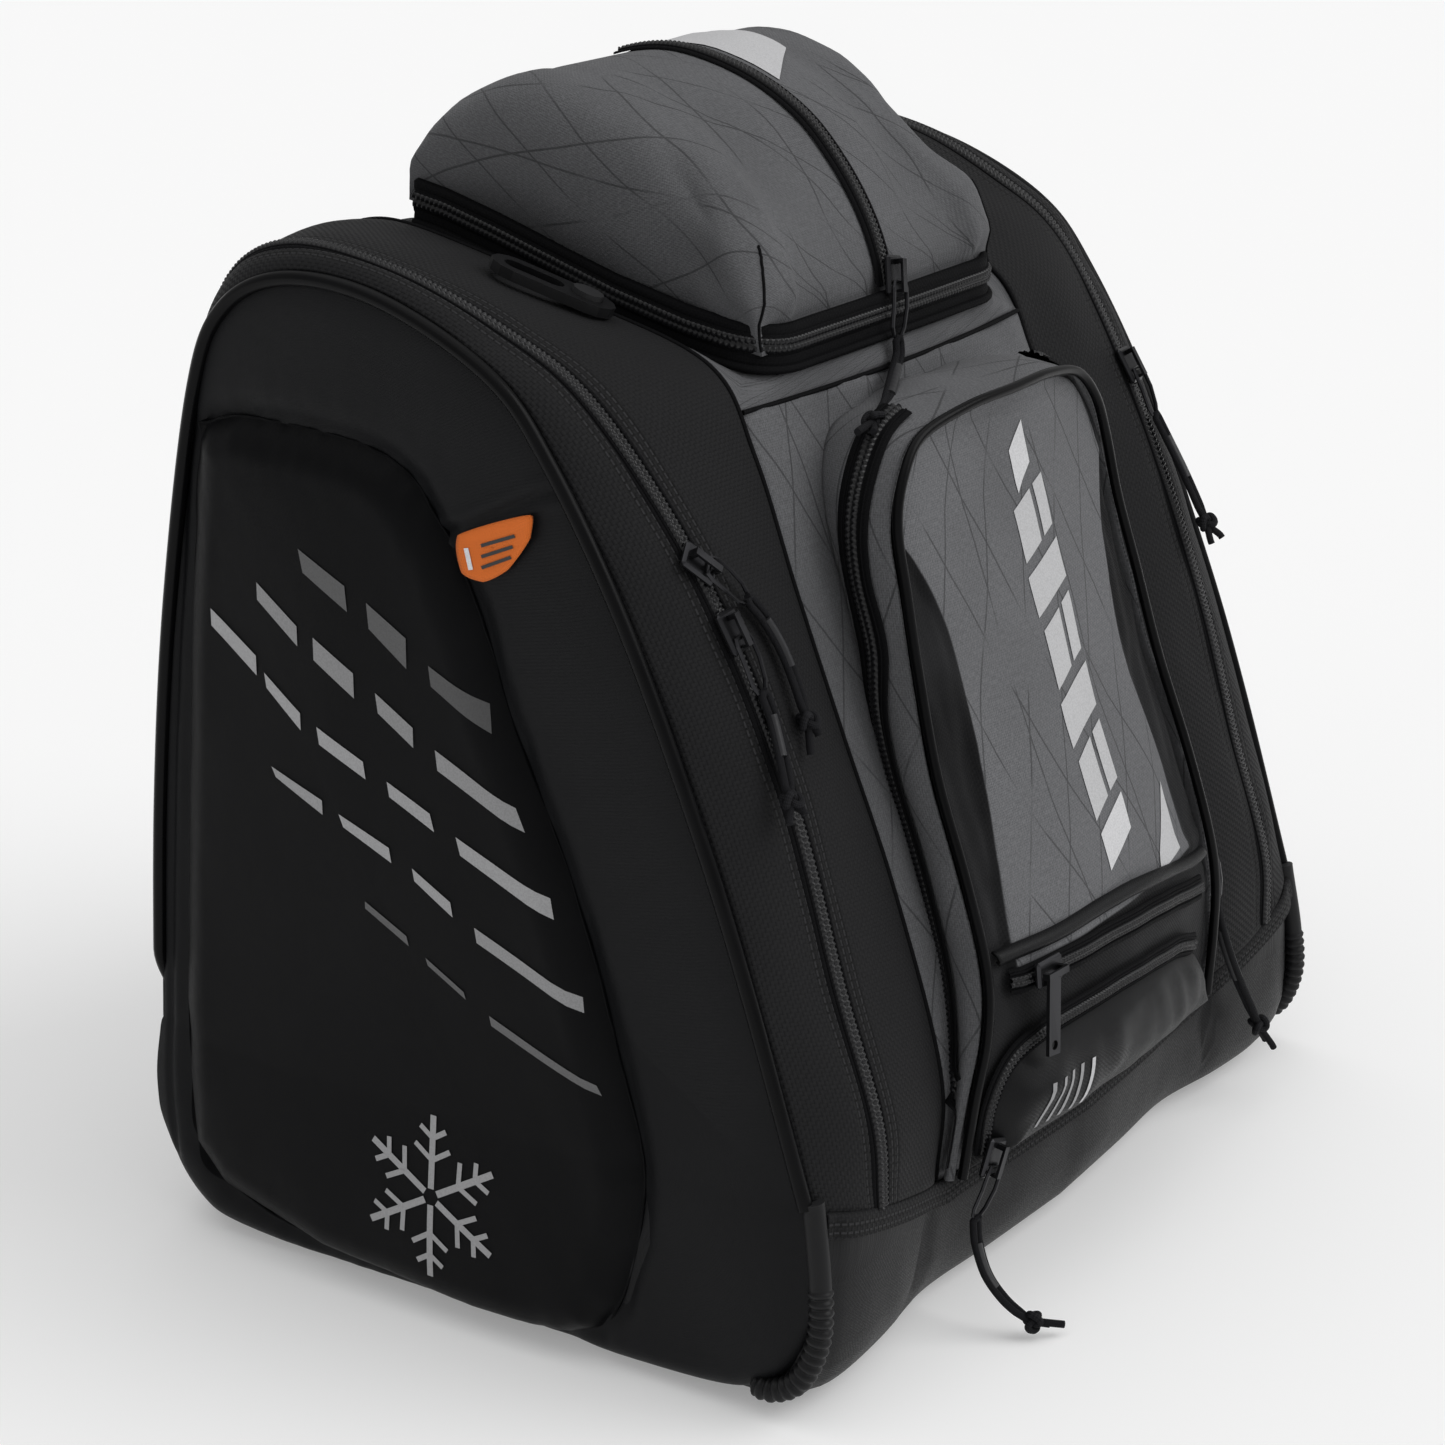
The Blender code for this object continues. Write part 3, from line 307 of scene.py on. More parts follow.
def pocket_colours(tree, tone):
    """Grey centre of the pocket's face between two dark insets and the dark lower part."""
    place = node(tree, "TexCoord").outputs["Object"]
    split = node(tree, "SeparateXYZ", Vector=place)
    x, z = split.outputs[0], split.outputs[2]
    f = calc(tree, "DIVIDE", calc(tree, "SUBTRACT", z, 0.10), 0.25)
    curve = node(tree, "FloatCurve", Value=f)
    line = curve.mapping.curves[0]
    knots = [(0.0, 0.80), (0.17, 0.77), (0.316, 0.71), (0.436, 0.655), (0.54, 0.625),
             (0.636, 0.635), (0.716, 0.67), (0.784, 0.735), (0.824, 0.80), (0.88, 1.0)]
    line.points[0].location = knots[0]
    line.points[1].location = knots[-1]
    for k in knots[1:-1]:
        line.points.new(*k)
    curve.mapping.update()
    half = calc(tree, "MULTIPLY", curve.outputs[0], 0.1)
    gap = calc(tree, "SUBTRACT", half, calc(tree, "ABSOLUTE", x))
    side = smooth_map(tree, gap, -0.0005, 0.0005)
    foot = smooth_map(tree, calc(tree, "SUBTRACT", z, 0.1425), -0.0005, 0.0005)
    mask = calc(tree, "MULTIPLY", side, foot)
    return mix_colour(tree, mask, (0.0050, 0.0050, 0.0056, 1), tone), mask


GREY = (0.106, 0.107, 0.112)
MAT = {
    "tarp": cloth("tarpaulin", (0.0062, 0.0064, 0.0072), 0.46, 0.0007, 0.00006, sheen=0.0,
                  blotch=0.25, gloss=0.13),
    "tarp_pad": cloth("tarpaulin_pad", (0.0034, 0.0035, 0.0040), 0.42, 0.0007, 0.00006,
                      sheen=0.0, blotch=0.25, gloss=0.08),
    "tarp_base": cloth("tarpaulin_base", (0.0072, 0.0073, 0.0080), 0.44, 0.0008, 0.00008,
                       sheen=0.0, blotch=0.3, gloss=0.17),
    "ballistic": cloth("ballistic_weave", (0.0100, 0.0100, 0.0108), 0.70, 0.0017, 0.0005,
                       stitches=(0.0030, 0.0062), sheen=0.02, gloss=0.14),
    "ballistic_plain": cloth("ballistic_plain", (0.0100, 0.0100, 0.0108), 0.70, 0.0017, 0.0005,
                             sheen=0.02, gloss=0.14),
    "grey": cloth("grey_cloth", GREY, 0.72, 0.0010, 0.00022, heather=0.35, lattice=True,
                  sheen=0.05, blotch=0.25),
    "grey_face": cloth("grey_face", scaled(GREY, 1.15), 0.70, 0.0010, 0.00022, heather=0.35,
                       lattice=True, sheen=0.04, blotch=0.2, second=pocket_colours),
    "tape": cloth("zip_tape", (0.0052, 0.0052, 0.0058), 0.72, 0.0011, 0.0002, sheen=0.0,
                  gloss=0.06),
    "coil": plain("zip_coil", (0.0070, 0.0070, 0.0080), 0.30, edge_wear_and_highlight=0.10, gloss=0.32),
    "piping": plain("piping_vinyl", (0.0030, 0.0030, 0.0034), 0.30, edge_wear_and_highlight=0.02, gloss=0.10),
    "rubber": plain("guard_rubber", (0.0085, 0.0085, 0.0092), 0.45, edge_wear_and_highlight=0.2, gloss=0.2),
    "plastic": plain("moulded_plastic", (0.0045, 0.0045, 0.0050), 0.32, edge_wear_and_highlight=0.12, gloss=0.16),
    "metal": plain("gunmetal", (0.016, 0.016, 0.018), 0.30, metallic=0.85, edge_wear_and_highlight=0.35,
                   grain_size=2500.0, bump_depth=0.00003, gloss=0.15),
    "cord": braid("cord_braid", (0.013, 0.013, 0.015)),
    "sleeve": plain("shrink_sleeve", (0.022, 0.022, 0.024), 0.42, ripple=0.004,
                    bump_depth=0.00005),
    "mesh": spacer_mesh("spacer_mesh", (0.014, 0.014, 0.016)),
    "webbing": cloth("webbing", (0.011, 0.011, 0.012), 0.7, 0.0022, 0.0005, sheen=0.02),
    "lining": cloth("lining", (0.026, 0.026, 0.029), 0.65, 0.0009, 0.00015, sheen=0.05),
    "label": cloth("orange_label", (0.74, 0.17, 0.03), 0.62, 0.0006, 0.0001, sheen=0.05,
                   blotch=0.05),
    "print": printed("screen_print"),
    "heater": plain("heater_film", (0.030, 0.030, 0.032), 0.5),
}

# ---- meshes -------------------------------------------------------------------------------


def resample(line, count):
    """A line with its points evenly spaced."""
    reach = np.r_[0, np.cumsum(np.linalg.norm(np.diff(line, axis=0), axis=1))]
    want = np.linspace(0, reach[-1], count)
    return np.stack([np.interp(want, reach, line[:, i]) for i in range(line.shape[1])], 1)


def evenly_round(outline, count):
    """A closed outline with its points evenly spaced."""
    return resample(np.vstack([outline, outline[:1]]), count + 1)[:-1]


def spline(points, count, closed=False):
    """A smooth line through points."""
    k = np.array(points, float)
    if closed:
        p = np.vstack([k[-1:], k, k[:2]])
    else:
        p = np.vstack([2 * k[:1] - k[1:2], k, 2 * k[-1:] - k[-2:-1]])
    t = np.linspace(0, 1, 16, endpoint=False)[:, None]
    out = []
    for a, b, c, d in zip(p, p[1:], p[2:], p[3:]):
        out.append(0.5 * (2 * b + (c - a) * t + (2 * a - 5 * b + 4 * c - d) * t * t
                          + (3 * b - a - 3 * c + d) * t ** 3))
    out.append(k[:1] if closed else k[-1:])
    return resample(np.vstack(out), count)


def unit(v):
    return v / np.maximum(np.linalg.norm(v, axis=-1, keepdims=True), 1e-12)


def turned_out(n, away):
    """Normals, each turned to the side that away points to."""
    return n * np.where((n * away).sum(-1, keepdims=True) < 0, -1.0, 1.0)


def signed_power(v, p):
    return np.sign(v) * np.abs(v) ** p


def normals_of(P, wrap=False):
    du = np.gradient(P, axis=0)
    dv = (np.roll(P, -1, 1) - np.roll(P, 1, 1)) if wrap else np.gradient(P, axis=1)
    return unit(np.cross(du, dv))


def wob(P, size, seed=0.0):
    """Smooth noise at points of two or three coordinates, about size across."""
    if P.shape[-1] == 2:
        P = np.concatenate([P, np.zeros(P.shape[:-1] + (1,))], -1)
    q = P.reshape(-1, P.shape[-1]) / size + seed
    return np.array([noise.noise(Vector(p)) for p in q]).reshape(P.shape[:-1])


def add_mesh(name, verts, faces, mat, uvs=None):
    mesh = bpy.data.meshes.new(name)
    mesh.from_pydata([tuple(p) for p in verts], [], [tuple(f) for f in faces])
    if uvs is not None:
        mesh.uv_layers.new(name="UVMap").data.foreach_set("uv", np.asarray(uvs, float).ravel())
    mesh.update()
    made = bpy.data.objects.new(name, mesh)
    bpy.context.scene.collection.objects.link(made)
    mesh.materials.append(mat)
    mesh.shade_smooth()
    return made


def grid(name, P, mat, wrap=False, thick=0.0, outside=None, from_end=False, cap=False):
    """Surface through P[rows, columns]. UVs are in metres: u down the rows, v across them."""
    rows, cols = P.shape[:2]
    r, c = np.meshgrid(np.arange(rows - 1), np.arange(cols if wrap else cols - 1), indexing="ij")
    n = (c + 1) % cols
    faces = np.stack([r * cols + c, r * cols + n, (r + 1) * cols + n, (r + 1) * cols + c], -1)
    faces = faces.reshape(-1, 4)
    ring = np.concatenate([P, P[:, :1]], 1) if wrap else P
    middle = ring[:, ring.shape[1] // 2]
    u = np.r_[0, np.cumsum(np.linalg.norm(np.diff(middle, axis=0), axis=1))]
    v = np.concatenate([np.zeros((rows, 1)),
                        np.cumsum(np.linalg.norm(np.diff(ring, axis=1), axis=2), 1)], 1)
    if from_end:
        v = v[:, -1:] - v
    uvs = np.stack([np.stack([u[a], v[a, b]], -1)
                    for a, b in ((r, c), (r, c + 1), (r + 1, c + 1), (r + 1, c))], -2)
    uvs = uvs.reshape(-1, 4, 2)
    q = P.reshape(-1, 3)[faces]
    normal = np.cross(q[:, 2] - q[:, 0], q[:, 3] - q[:, 1])
    away = q.mean(1) - MIDDLE if outside is None else np.array(outside, float)
    if (normal * away).sum() < 0:
        faces = faces[:, ::-1]
        uvs = uvs[:, ::-1]
    faces = [tuple(f) for f in faces]
    uvs = uvs.reshape(-1, 2)
    if cap:
        for row in (range(cols), range((rows - 1) * cols, rows * cols)):
            faces.append(tuple(row))
            uvs = np.vstack([uvs, np.zeros((cols, 2))])
    made = add_mesh(name, P.reshape(-1, 3), faces, mat, uvs)
    if cap:
        bm = bmesh.new()
        bm.from_mesh(made.data)
        bmesh.ops.recalc_face_normals(bm, faces=bm.faces)
        bm.to_mesh(made.data)
        bm.free()
    if thick:
        wall = made.modifiers.new("wall", "SOLIDIFY")
        wall.thickness = thick
        wall.offset = -1.0
    return made


def moving_frames(line, closed=False):
    t = unit(np.roll(line, -1, 0) - np.roll(line, 1, 0)) if closed else unit(
        np.gradient(line, axis=0))
    a = np.cross(t[0], (0.3, 0.2, 0.93))
    a = a / np.linalg.norm(a)
    out = []
    for v in t:
        a = a - v * a.dot(v)
        a = a / np.linalg.norm(a)
        out.append(a.copy())
    one = np.array(out)
    return t, one, np.cross(t, one)


def rope(name, line, radius, mat, sides=12, closed=False, flat=1.0):
    """Round bar along a line; radius may be a list."""
    line = np.asarray(line, float)
    t, a, b = moving_frames(line, closed)
    radius = np.broadcast_to(np.asarray(radius, float), len(line))[:, None, None]
    ang = np.linspace(0, 2 * math.pi, sides, endpoint=False)
    P = (line[:, None] + radius * (np.cos(ang)[None, :, None] * a[:, None]
                                   + flat * np.sin(ang)[None, :, None] * b[:, None]))
    if closed:
        P = np.concatenate([P, P[:1]], 0)
    made = grid(name, P, mat, wrap=True, outside=(0, 0, 1), cap=not closed)
    bm = bmesh.new()
    bm.from_mesh(made.data)
    if closed:
        bmesh.ops.remove_doubles(bm, verts=bm.verts, dist=1e-7)
    bmesh.ops.recalc_face_normals(bm, faces=bm.faces)
    bm.to_mesh(made.data)
    bm.free()
    made.data.set_sharp_from_angle(angle=math.radians(50))
    return made


def joined(name, pieces):
    """One object from several, keeping their materials."""
    base = pieces[0]
    base.name = name
    with bpy.context.temp_override(active_object=base, object=base, selected_objects=pieces,
                                   selected_editable_objects=pieces):
        bpy.ops.object.join()
    return base


def distance_to(points, outline, closed=True):
    """Distance of (a, b) points to a polyline."""
    flat = points.reshape(-1, 2)
    a = np.asarray(outline, float)
    b = np.roll(a, -1, 0) if closed else a[1:]
    a = a if closed else a[:-1]
    best = np.full(len(flat), 9.0)
    for s, e in zip(a, b):
        d = e - s
        f = np.clip(((flat - s) @ d) / max(d @ d, 1e-12), 0, 1)
        best = np.minimum(best, np.linalg.norm(flat - s - f[:, None] * d, axis=1))
    return best.reshape(points.shape[:-1])


def rings(outline, middle, count, ease=1.0):
    """Rings from the middle out to a closed outline, finer at its edge."""
    f = 1 - (1 - np.linspace(0.0003, 1, count)) ** ease
    return np.array(middle) + (np.asarray(outline) - np.array(middle)) * f[:, None, None]


def flat_uvs(made, stretch=1.0):
    """UVs straight from z and x, in metres."""
    uv = made.data.uv_layers["UVMap"].data
    co = np.array([v.co for v in made.data.vertices])
    for loop in made.data.loops:
        x, _, z = co[loop.vertex_index]
        uv[loop.index].uv = (z * stretch, x)


def smoothstep(v, low, high):
    t = np.clip((v - low) / (high - low), 0, 1)
    return t * t * (3 - 2 * t)


def finish_piece(made, body, replaces=(), fold=None):
    """Ride on a body, or keep the piece where it stands when a fold is given, and hide the parts it
    replaces.
    """
    if fold:
        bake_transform(made)
    else:
        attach(made, body)
    if replaces:
        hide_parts(*replaces)
    return made


def seam_rope(name, line, radius=0.0009, mat=None):
    return rope(name, line, radius, mat or MAT["tape"], sides=8)


# ---- the bag's lines ----------------------------------------------------------------------

EDGE_ARCH = [(-0.168, 0.088), (-0.143, 0.166), (-0.121, 0.226), (-0.089, 0.299), (-0.057, 0.354),
             (-0.030, 0.384), (0.020, 0.406), (0.065, 0.409), (0.096, 0.394), (0.113, 0.360),
             (0.131, 0.272), (0.142, 0.185), (0.149, 0.088)]
ZIP_ARCH = [(-0.178, 0.076), (-0.175, 0.110), (-0.158, 0.160), (-0.140, 0.219), (-0.117, 0.276),
            (-0.088, 0.330), (-0.054, 0.375), (-0.020, 0.396), (0.023, 0.413), (0.070, 0.419),
            (0.104, 0.405), (0.124, 0.370), (0.141, 0.285), (0.150, 0.200), (0.156, 0.076)]
SEAM_ARCH = [(-0.167, 0.060), (-0.168, 0.105), (-0.146, 0.176), (-0.122, 0.235), (-0.100, 0.290),
             (-0.081, 0.340), (-0.060, 0.373), (0.000, 0.391), (0.050, 0.405), (0.098, 0.412),
             (0.126, 0.396), (0.141, 0.350), (0.152, 0.250), (0.156, 0.060)]
SEAM_X = 0.109
LONG = 300


def edge_x(z):
    return 0.206 + 0.008 * np.maximum(0.088 - z, 0) / 0.088


def zip_x(z):
    return 0.168 + 0.023 * np.maximum((z - 0.230) / 0.190, 0) ** 2


def with_x(yz, x):
    return np.stack([x, yz[..., 0], yz[..., 1]], -1)


def arch_lines(side, count=LONG):
    e, z, s = (spline(a, count) for a in (EDGE_ARCH, ZIP_ARCH, SEAM_ARCH))
    return (with_x(e, side * edge_x(e[:, 1])), with_x(z, side * zip_x(z[:, 1])),
            with_x(s, np.full(len(s), side * SEAM_X)))


FRONT = spline(SEAM_ARCH, 400)
FRONT = FRONT[FRONT[:, 0] < -0.055]


def front_y(z):
    return np.interp(z, FRONT[:, 1], FRONT[:, 0])


def front_surface(x, z):
    return front_y(z) - 0.007 * (1 - (x / SEAM_X) ** 2)


def tub_height(x):
    return 0.0565 + 0.027 * np.clip((np.abs(x) - SEAM_X) / 0.097, 0, 1)


# ---- side panels --------------------------------------------------------------------------

SIDE_LOW = [(0.151, 0.060), (0.144, 0.030), (0.128, 0.011), (0.105, 0.004), (0.040, 0.002),
            (-0.050, 0.002), (-0.125, 0.004), (-0.150, 0.010), (-0.165, 0.022), (-0.1715, 0.040),
            (-0.1720, 0.062)]
PAD = [(0.110, 0.342), (0.105, 0.349), (0.089, 0.3535), (0.055, 0.353), (0.031, 0.351),
       (0.014, 0.346), (0.003, 0.338), (-0.011, 0.319), (-0.024, 0.293), (-0.037, 0.256),
       (-0.050, 0.227), (-0.063, 0.198), (-0.076, 0.161), (-0.085, 0.130), (-0.094, 0.099),
       (-0.097, 0.079), (-0.096, 0.058), (-0.089, 0.030), (-0.079, 0.014), (-0.064, 0.007),
       (-0.050, 0.0055), (-0.020, 0.0045), (0.057, 0.010), (0.110, 0.024), (0.127, 0.040),
       (0.131, 0.070), (0.132, 0.102), (0.1255, 0.191), (0.118, 0.276)]
PANEL_SEAM = [(-0.006, 0.321), (-0.020, 0.327), (-0.034, 0.334), (-0.048, 0.341), (-0.063, 0.348)]
REAR_SEAM = [(0.110, 0.372), (0.117, 0.345), (0.124, 0.290), (0.131, 0.231), (0.139, 0.143),
             (0.143, 0.075), (0.139, 0.030)]


def side_x(yz, extra):
    return edge_x(yz[..., 1]) + extra


def roll_under(yz, d, reach=0.009, top=0.050):
    """How far the cloth rolls inwards near the lower outline."""
    low = 1 - smoothstep(yz[..., 1], top * 0.3, top)
    f = np.clip(1 - d / reach, 0, 1)
    return low * (reach - np.sqrt(np.maximum(reach ** 2 - (reach * f) ** 2, 0)))


def fold_line(side):
    word = "left" if side < 0 else "right"
    return ("bag", word + "_door", (side * 0.206, 0, 0.064), (side * 0.206, 0, 0.092))


def pad_surface(yz, side):
    d = distance_to(yz, PAD)
    d[-1] = 0.0
    rise = 0.0096 * (1 - (1 - np.clip(d / 0.017, 0, 1)) ** 2.3)
    crown = 0.0022 * (1 - np.exp(-d / 0.045))
    top = smoothstep(yz[..., 1], 0.24, 0.34)
    pucker = wob(yz * (1.0, 0.35), 0.0065, 3.0) * 0.0013 * np.exp(-d / 0.009) * (
        0.35 + 0.65 * top)
    slanted = yz @ np.array([[0.8, 0.5], [-0.5, 0.9]]) * (1.0, 0.25)
    folds = wob(slanted, 0.020, 7.0) * 0.0016 * np.exp(-d / 0.028) * (
        smoothstep(-yz[..., 0], 0.01, 0.09) * 0.9 + 0.25)
    broad = wob(yz, 0.085, 1.0) * 0.0016
    h = rise + crown + pucker + folds + broad * smoothstep(d, 0.004, 0.03)
    x = side * (side_x(yz, h + 0.0008) - roll_under(yz, np.maximum(d, 0.001), 0.008, 0.030))
    return with_x(yz, x)


def make_side_cloth(side, word):
    upper = spline(EDGE_ARCH, 330)
    inset = upper + unit(np.array([0.0, 0.21]) - upper) * 0.0022
    low = spline([EDGE_ARCH[-1]] + SIDE_LOW + [EDGE_ARCH[0]], 210)[1:-1]
    outline = evenly_round(np.vstack([inset, low]), 520)
    yz = rings(outline, (0.0, 0.200), 76, 1.5)
    d = distance_to(yz, outline)
    to_pad = distance_to(yz, PAD)
    seam = distance_to(yz, PANEL_SEAM, False)
    rear = distance_to(yz, spline(REAR_SEAM, 40), False)
    h = 0.0030 * (1 - np.exp(-d / 0.012))
    h = h + wob(yz, 0.060, 5.0) * 0.0016 * smoothstep(d, 0, 0.02)
    h = h - 0.0016 * np.exp(-(seam / 0.0016) ** 2) + 0.0009 * np.exp(-((seam - 0.004) / 0.002) ** 2)
    h = h - 0.0014 * np.exp(-(rear / 0.0018) ** 2)
    h = h - 0.0030 * np.exp(-(to_pad / 0.0060) ** 2)
    h = h + wob(yz * (1, 0.3), 0.008, 9.0) * 0.0007 * np.exp(-to_pad / 0.010)
    P = with_x(yz, side * (side_x(yz, h) - roll_under(yz, d)))
    cloth_piece = grid("side_cloth_" + word, P, MAT["tarp"], wrap=True, outside=(side, 0, 0))
    cloth_piece.modifiers.new("wall", "SOLIDIFY").thickness = SKIN_THICK
    finish_piece(cloth_piece, None, ("side_panel_" + word,), fold_line(side))
    pad_line = spline(PAD, 421, True)[:-1]
    pad_yz = rings(pad_line, (0.022, 0.175), 84, 1.6)
    P = pad_surface(pad_yz, side)
    under = P[-1:].copy()
    under[..., 0] -= side * 0.0030
    P = np.concatenate([P, under], 0)
    pad = grid("side_pad_cloth_" + word, P, MAT["tarp_pad"], wrap=True, outside=(side, 0, 0), cap=True)
    finish_piece(pad, None, ("side_pad_" + word,), fold_line(side))
    return pad, cloth_piece


def make_piping(side, word):
    edge = arch_lines(side)[0]
    at = np.arange(LONG) / LONG
    edge = edge - np.array([side, 0, 0]) * (0.010 * smoothstep(at, 0.955, 1.0))[:, None]
    pipe = rope("side_piping_round_" + word, edge + np.array([side * 0.0004, 0, 0]),
                0.0030 - 0.0024 * smoothstep(at, 0.955, 1.0), MAT["piping"], 12)
    finish_piece(pipe, word + "_door", ("side_piping_" + word,))


def make_guard(side, word):
    route = [(-0.1695, 0.0905), (-0.1745, 0.060), (-0.1755, 0.038), (-0.1690, 0.020),
             (-0.1585, 0.0120), (-0.1480, 0.0112)]
    line = spline(route, 330)
    pts = with_x(line, side * (edge_x(line[:, 1]) - 0.0022))
    s = np.r_[0, np.cumsum(np.linalg.norm(np.diff(pts, axis=0), axis=1))]
    rib = 0.5 + 0.5 * np.sin(2 * math.pi * s / 0.0038)
    ribbed = smoothstep(s, 0.033, 0.035)
    radius = 0.0043 + ribbed * (rib ** 0.7 * 0.0010 - 0.0003)
    radius *= 1 - 0.5 * smoothstep(s, s[-1] - 0.002, s[-1])
    guard = rope("corner_guard_ribbed_" + word, pts, radius, MAT["rubber"], 18)
    finish_piece(guard, "bag", ("corner_guard_" + word,))


# ---- zips ---------------------------------------------------------------------------------


def zip_strip(name, line, normals, half, body, replaces=(), coil=True, pitch=0.0023, lift=0.0,
              teeth_half=0.0029, fold=None):
    """A zip: two woven tapes and the coil between them, along a line."""
    line = np.asarray(line, float) + normals * lift
    t = unit(np.gradient(line, axis=0))
    across = unit(np.cross(t, normals))
    steps = np.array([-1.0, -0.94, -0.72, -0.40, -0.2, 0.2, 0.40, 0.72, 0.94, 1.0])
    rise = np.array([-0.0008, 0.0, 0.0003, 0.0003, 0.0001, 0.0001, 0.0003, 0.0003, 0.0, -0.0008])
    P = (line[:, None] + across[:, None] * (steps * half)[None, :, None]
         + normals[:, None] * rise[None, :, None])
    pieces = [grid(name, P, MAT["tape"], outside=normals.mean(0))]
    if coil:
        length = np.linalg.norm(np.diff(line, axis=0), axis=1).sum()
        count = int(length / 0.00046)
        dense = resample(line, count)
        reach = np.r_[0, np.cumsum(np.linalg.norm(np.diff(line, axis=0), axis=1))]
        want = np.linspace(0, reach[-1], count)
        nn = unit(np.stack([np.interp(want, reach, normals[:, i]) for i in range(3)], 1))
        tt = unit(np.gradient(dense, axis=0))
        aa = unit(np.cross(tt, nn))
        w = np.linspace(-1, 1, 11)
        bump = np.sqrt(np.clip(1 - (np.abs(np.abs(w) - 0.48) / 0.52) ** 2, 0, 1))
        phase = 2 * math.pi * want[:, None] / pitch + np.where(w < 0, 0, math.pi)[None]
        phase = phase + np.abs(w)[None] * 0.9
        tooth = (0.5 + 0.5 * np.cos(phase)) ** 0.6
        height = 0.0003 + bump[None] * (0.0007 + 0.0010 * tooth)
        C = (dense[:, None] + aa[:, None] * (w * teeth_half)[None, :, None]
             + nn[:, None] * height[..., None])
        pieces.append(grid(name + "_coil", C, MAT["coil"], outside=nn.mean(0)))
        for one in (-1, 1):
            edge = line + across * one * half * 0.62 + normals * 0.0004
            pieces.append(seam_rope(name + "_edge", edge[::2], 0.0005))
    made = joined(name, pieces)
    return finish_piece(made, body, replaces, fold)


def arch_normals(side, count=LONG):
    e, z, s = arch_lines(side, count)
    return turned_out(unit(np.cross(np.gradient(z, axis=0), s - e)), z - MIDDLE)


def strip(a, b, start, stop, cols, bulge, seed, ripple=0.0007):
    """Cloth between two lines, crowned and a little uneven."""
    span = b - a
    length = np.linalg.norm(span, axis=1, keepdims=True)
    t = unit(np.gradient(a, axis=0))
    out = turned_out(unit(np.cross(t, span)), a - MIDDLE)
    f = (start + (length - start - stop) * np.linspace(0, 1, cols)[None]) / length
    P = a[:, None] + span[:, None] * f[..., None] + out[:, None] * (
        bulge * 4 * f * (1 - f))[..., None]
    edge = np.minimum(f, 1 - f) * length
    P = P + out[:, None] * (wob(P, 0.035, seed) * ripple * 2 * smoothstep(edge, 0.0, 0.012)
                            )[..., None]
    return P


def make_gussets(side, word):
    edge, zips, seam = arch_lines(side)
    P = strip(edge, zips, 0.0026, 0.0042, 14, 0.0034, 2.0)
    P[:, -1] -= (P[:, -1] - MIDDLE) * 0.006
    drop = np.array([0.0, 0.0025, -0.012])
    P = np.concatenate([P[:1] + drop, P, P[-1:] + drop * np.array([0, -1, 1])], 0)
    outer = grid("outer_gusset_cloth_" + word, P, MAT["ballistic"], from_end=True, thick=CLOTH_THICK)
    finish_piece(outer, word + "_door", ("outer_gusset_" + word,))
    P = strip(zips, seam, 0.0042, 0.0002, 22, 0.0036, 6.0)
    inner = grid("inner_gusset_cloth_" + word, P, MAT["ballistic"], thick=CLOTH_THICK)
    finish_piece(inner, "bag", ("inner_gusset_" + word,))
    zip_strip("main_zip_coil_" + word, zips, arch_normals(side), 0.0060, "bag",
              ("main_zip_" + word,))
    finish_piece(seam_rope("seam_welt_" + word, seam + np.array([side * -0.0004, 0, 0]), 0.0011,
                           MAT["tape"]), "bag")


# ---- base, front panel, collar ------------------------------------------------------------

TUB_PLAN = [(0.0, -0.1755), (0.060, -0.1725), (0.108, -0.1695), (0.150, -0.1755), (0.186, -0.1775),
            (0.2025, -0.1725), (0.2095, -0.158), (0.2105, 0.0), (0.209, 0.120), (0.200, 0.146),
            (0.170, 0.155), (0.090, 0.157), (0.0, 0.157)]


def tub_rows():
    right = spline(TUB_PLAN, 150)
    plan = np.vstack([right, (right * np.array([-1, 1]))[::-1][1:-1]])
    levels = [(0.000, 0.930, 0.820), (0.001, 0.945, 0.870), (0.003, 0.962, 0.905),
              (0.007, 0.976, 0.942), (0.012, 0.987, 0.965), (0.019, 0.995, 0.985),
              (0.028, 1.000, 0.997), (0.042, 1.000, 1.001), (0.056, 0.997, 1.001)]
    rows = []
    for z, sx, sy in levels:
        rows.append(np.column_stack([plan[:, 0] * sx, -0.011 + (plan[:, 1] + 0.011) * sy,
                                     np.full(len(plan), z)]))
    top = tub_height(plan[:, 0])
    for f in (0.4, 0.75, 0.93, 1.0):
        z = 0.056 + (top - 0.056) * f
        sx = 0.997 - 0.018 * f
        rows.append(np.column_stack([plan[:, 0] * sx, -0.011 + (plan[:, 1] + 0.011) * (
            1.001 - 0.004 * f), z]))
    P = np.array(rows)
    n = turned_out(normals_of(P, True), P - np.array((0, -0.01, 0.05)))
    soft = smoothstep(P[..., 2], 0.008, 0.03) * smoothstep(top[None] - P[..., 2], 0.0, 0.012)
    dents = wob(P * np.array([1, 1, 0.5]), 0.045, 4.0) * 0.0018 + wob(P, 0.018, 8.0) * 0.0008
    pleat = np.exp(-((np.abs(P[..., 0]) - 0.116 - (0.056 - P[..., 2]) * 0.4) / 0.004) ** 2) * (
        P[..., 1] < 0)
    return P + n * (soft * (dents - 0.0022 * pleat))[..., None]


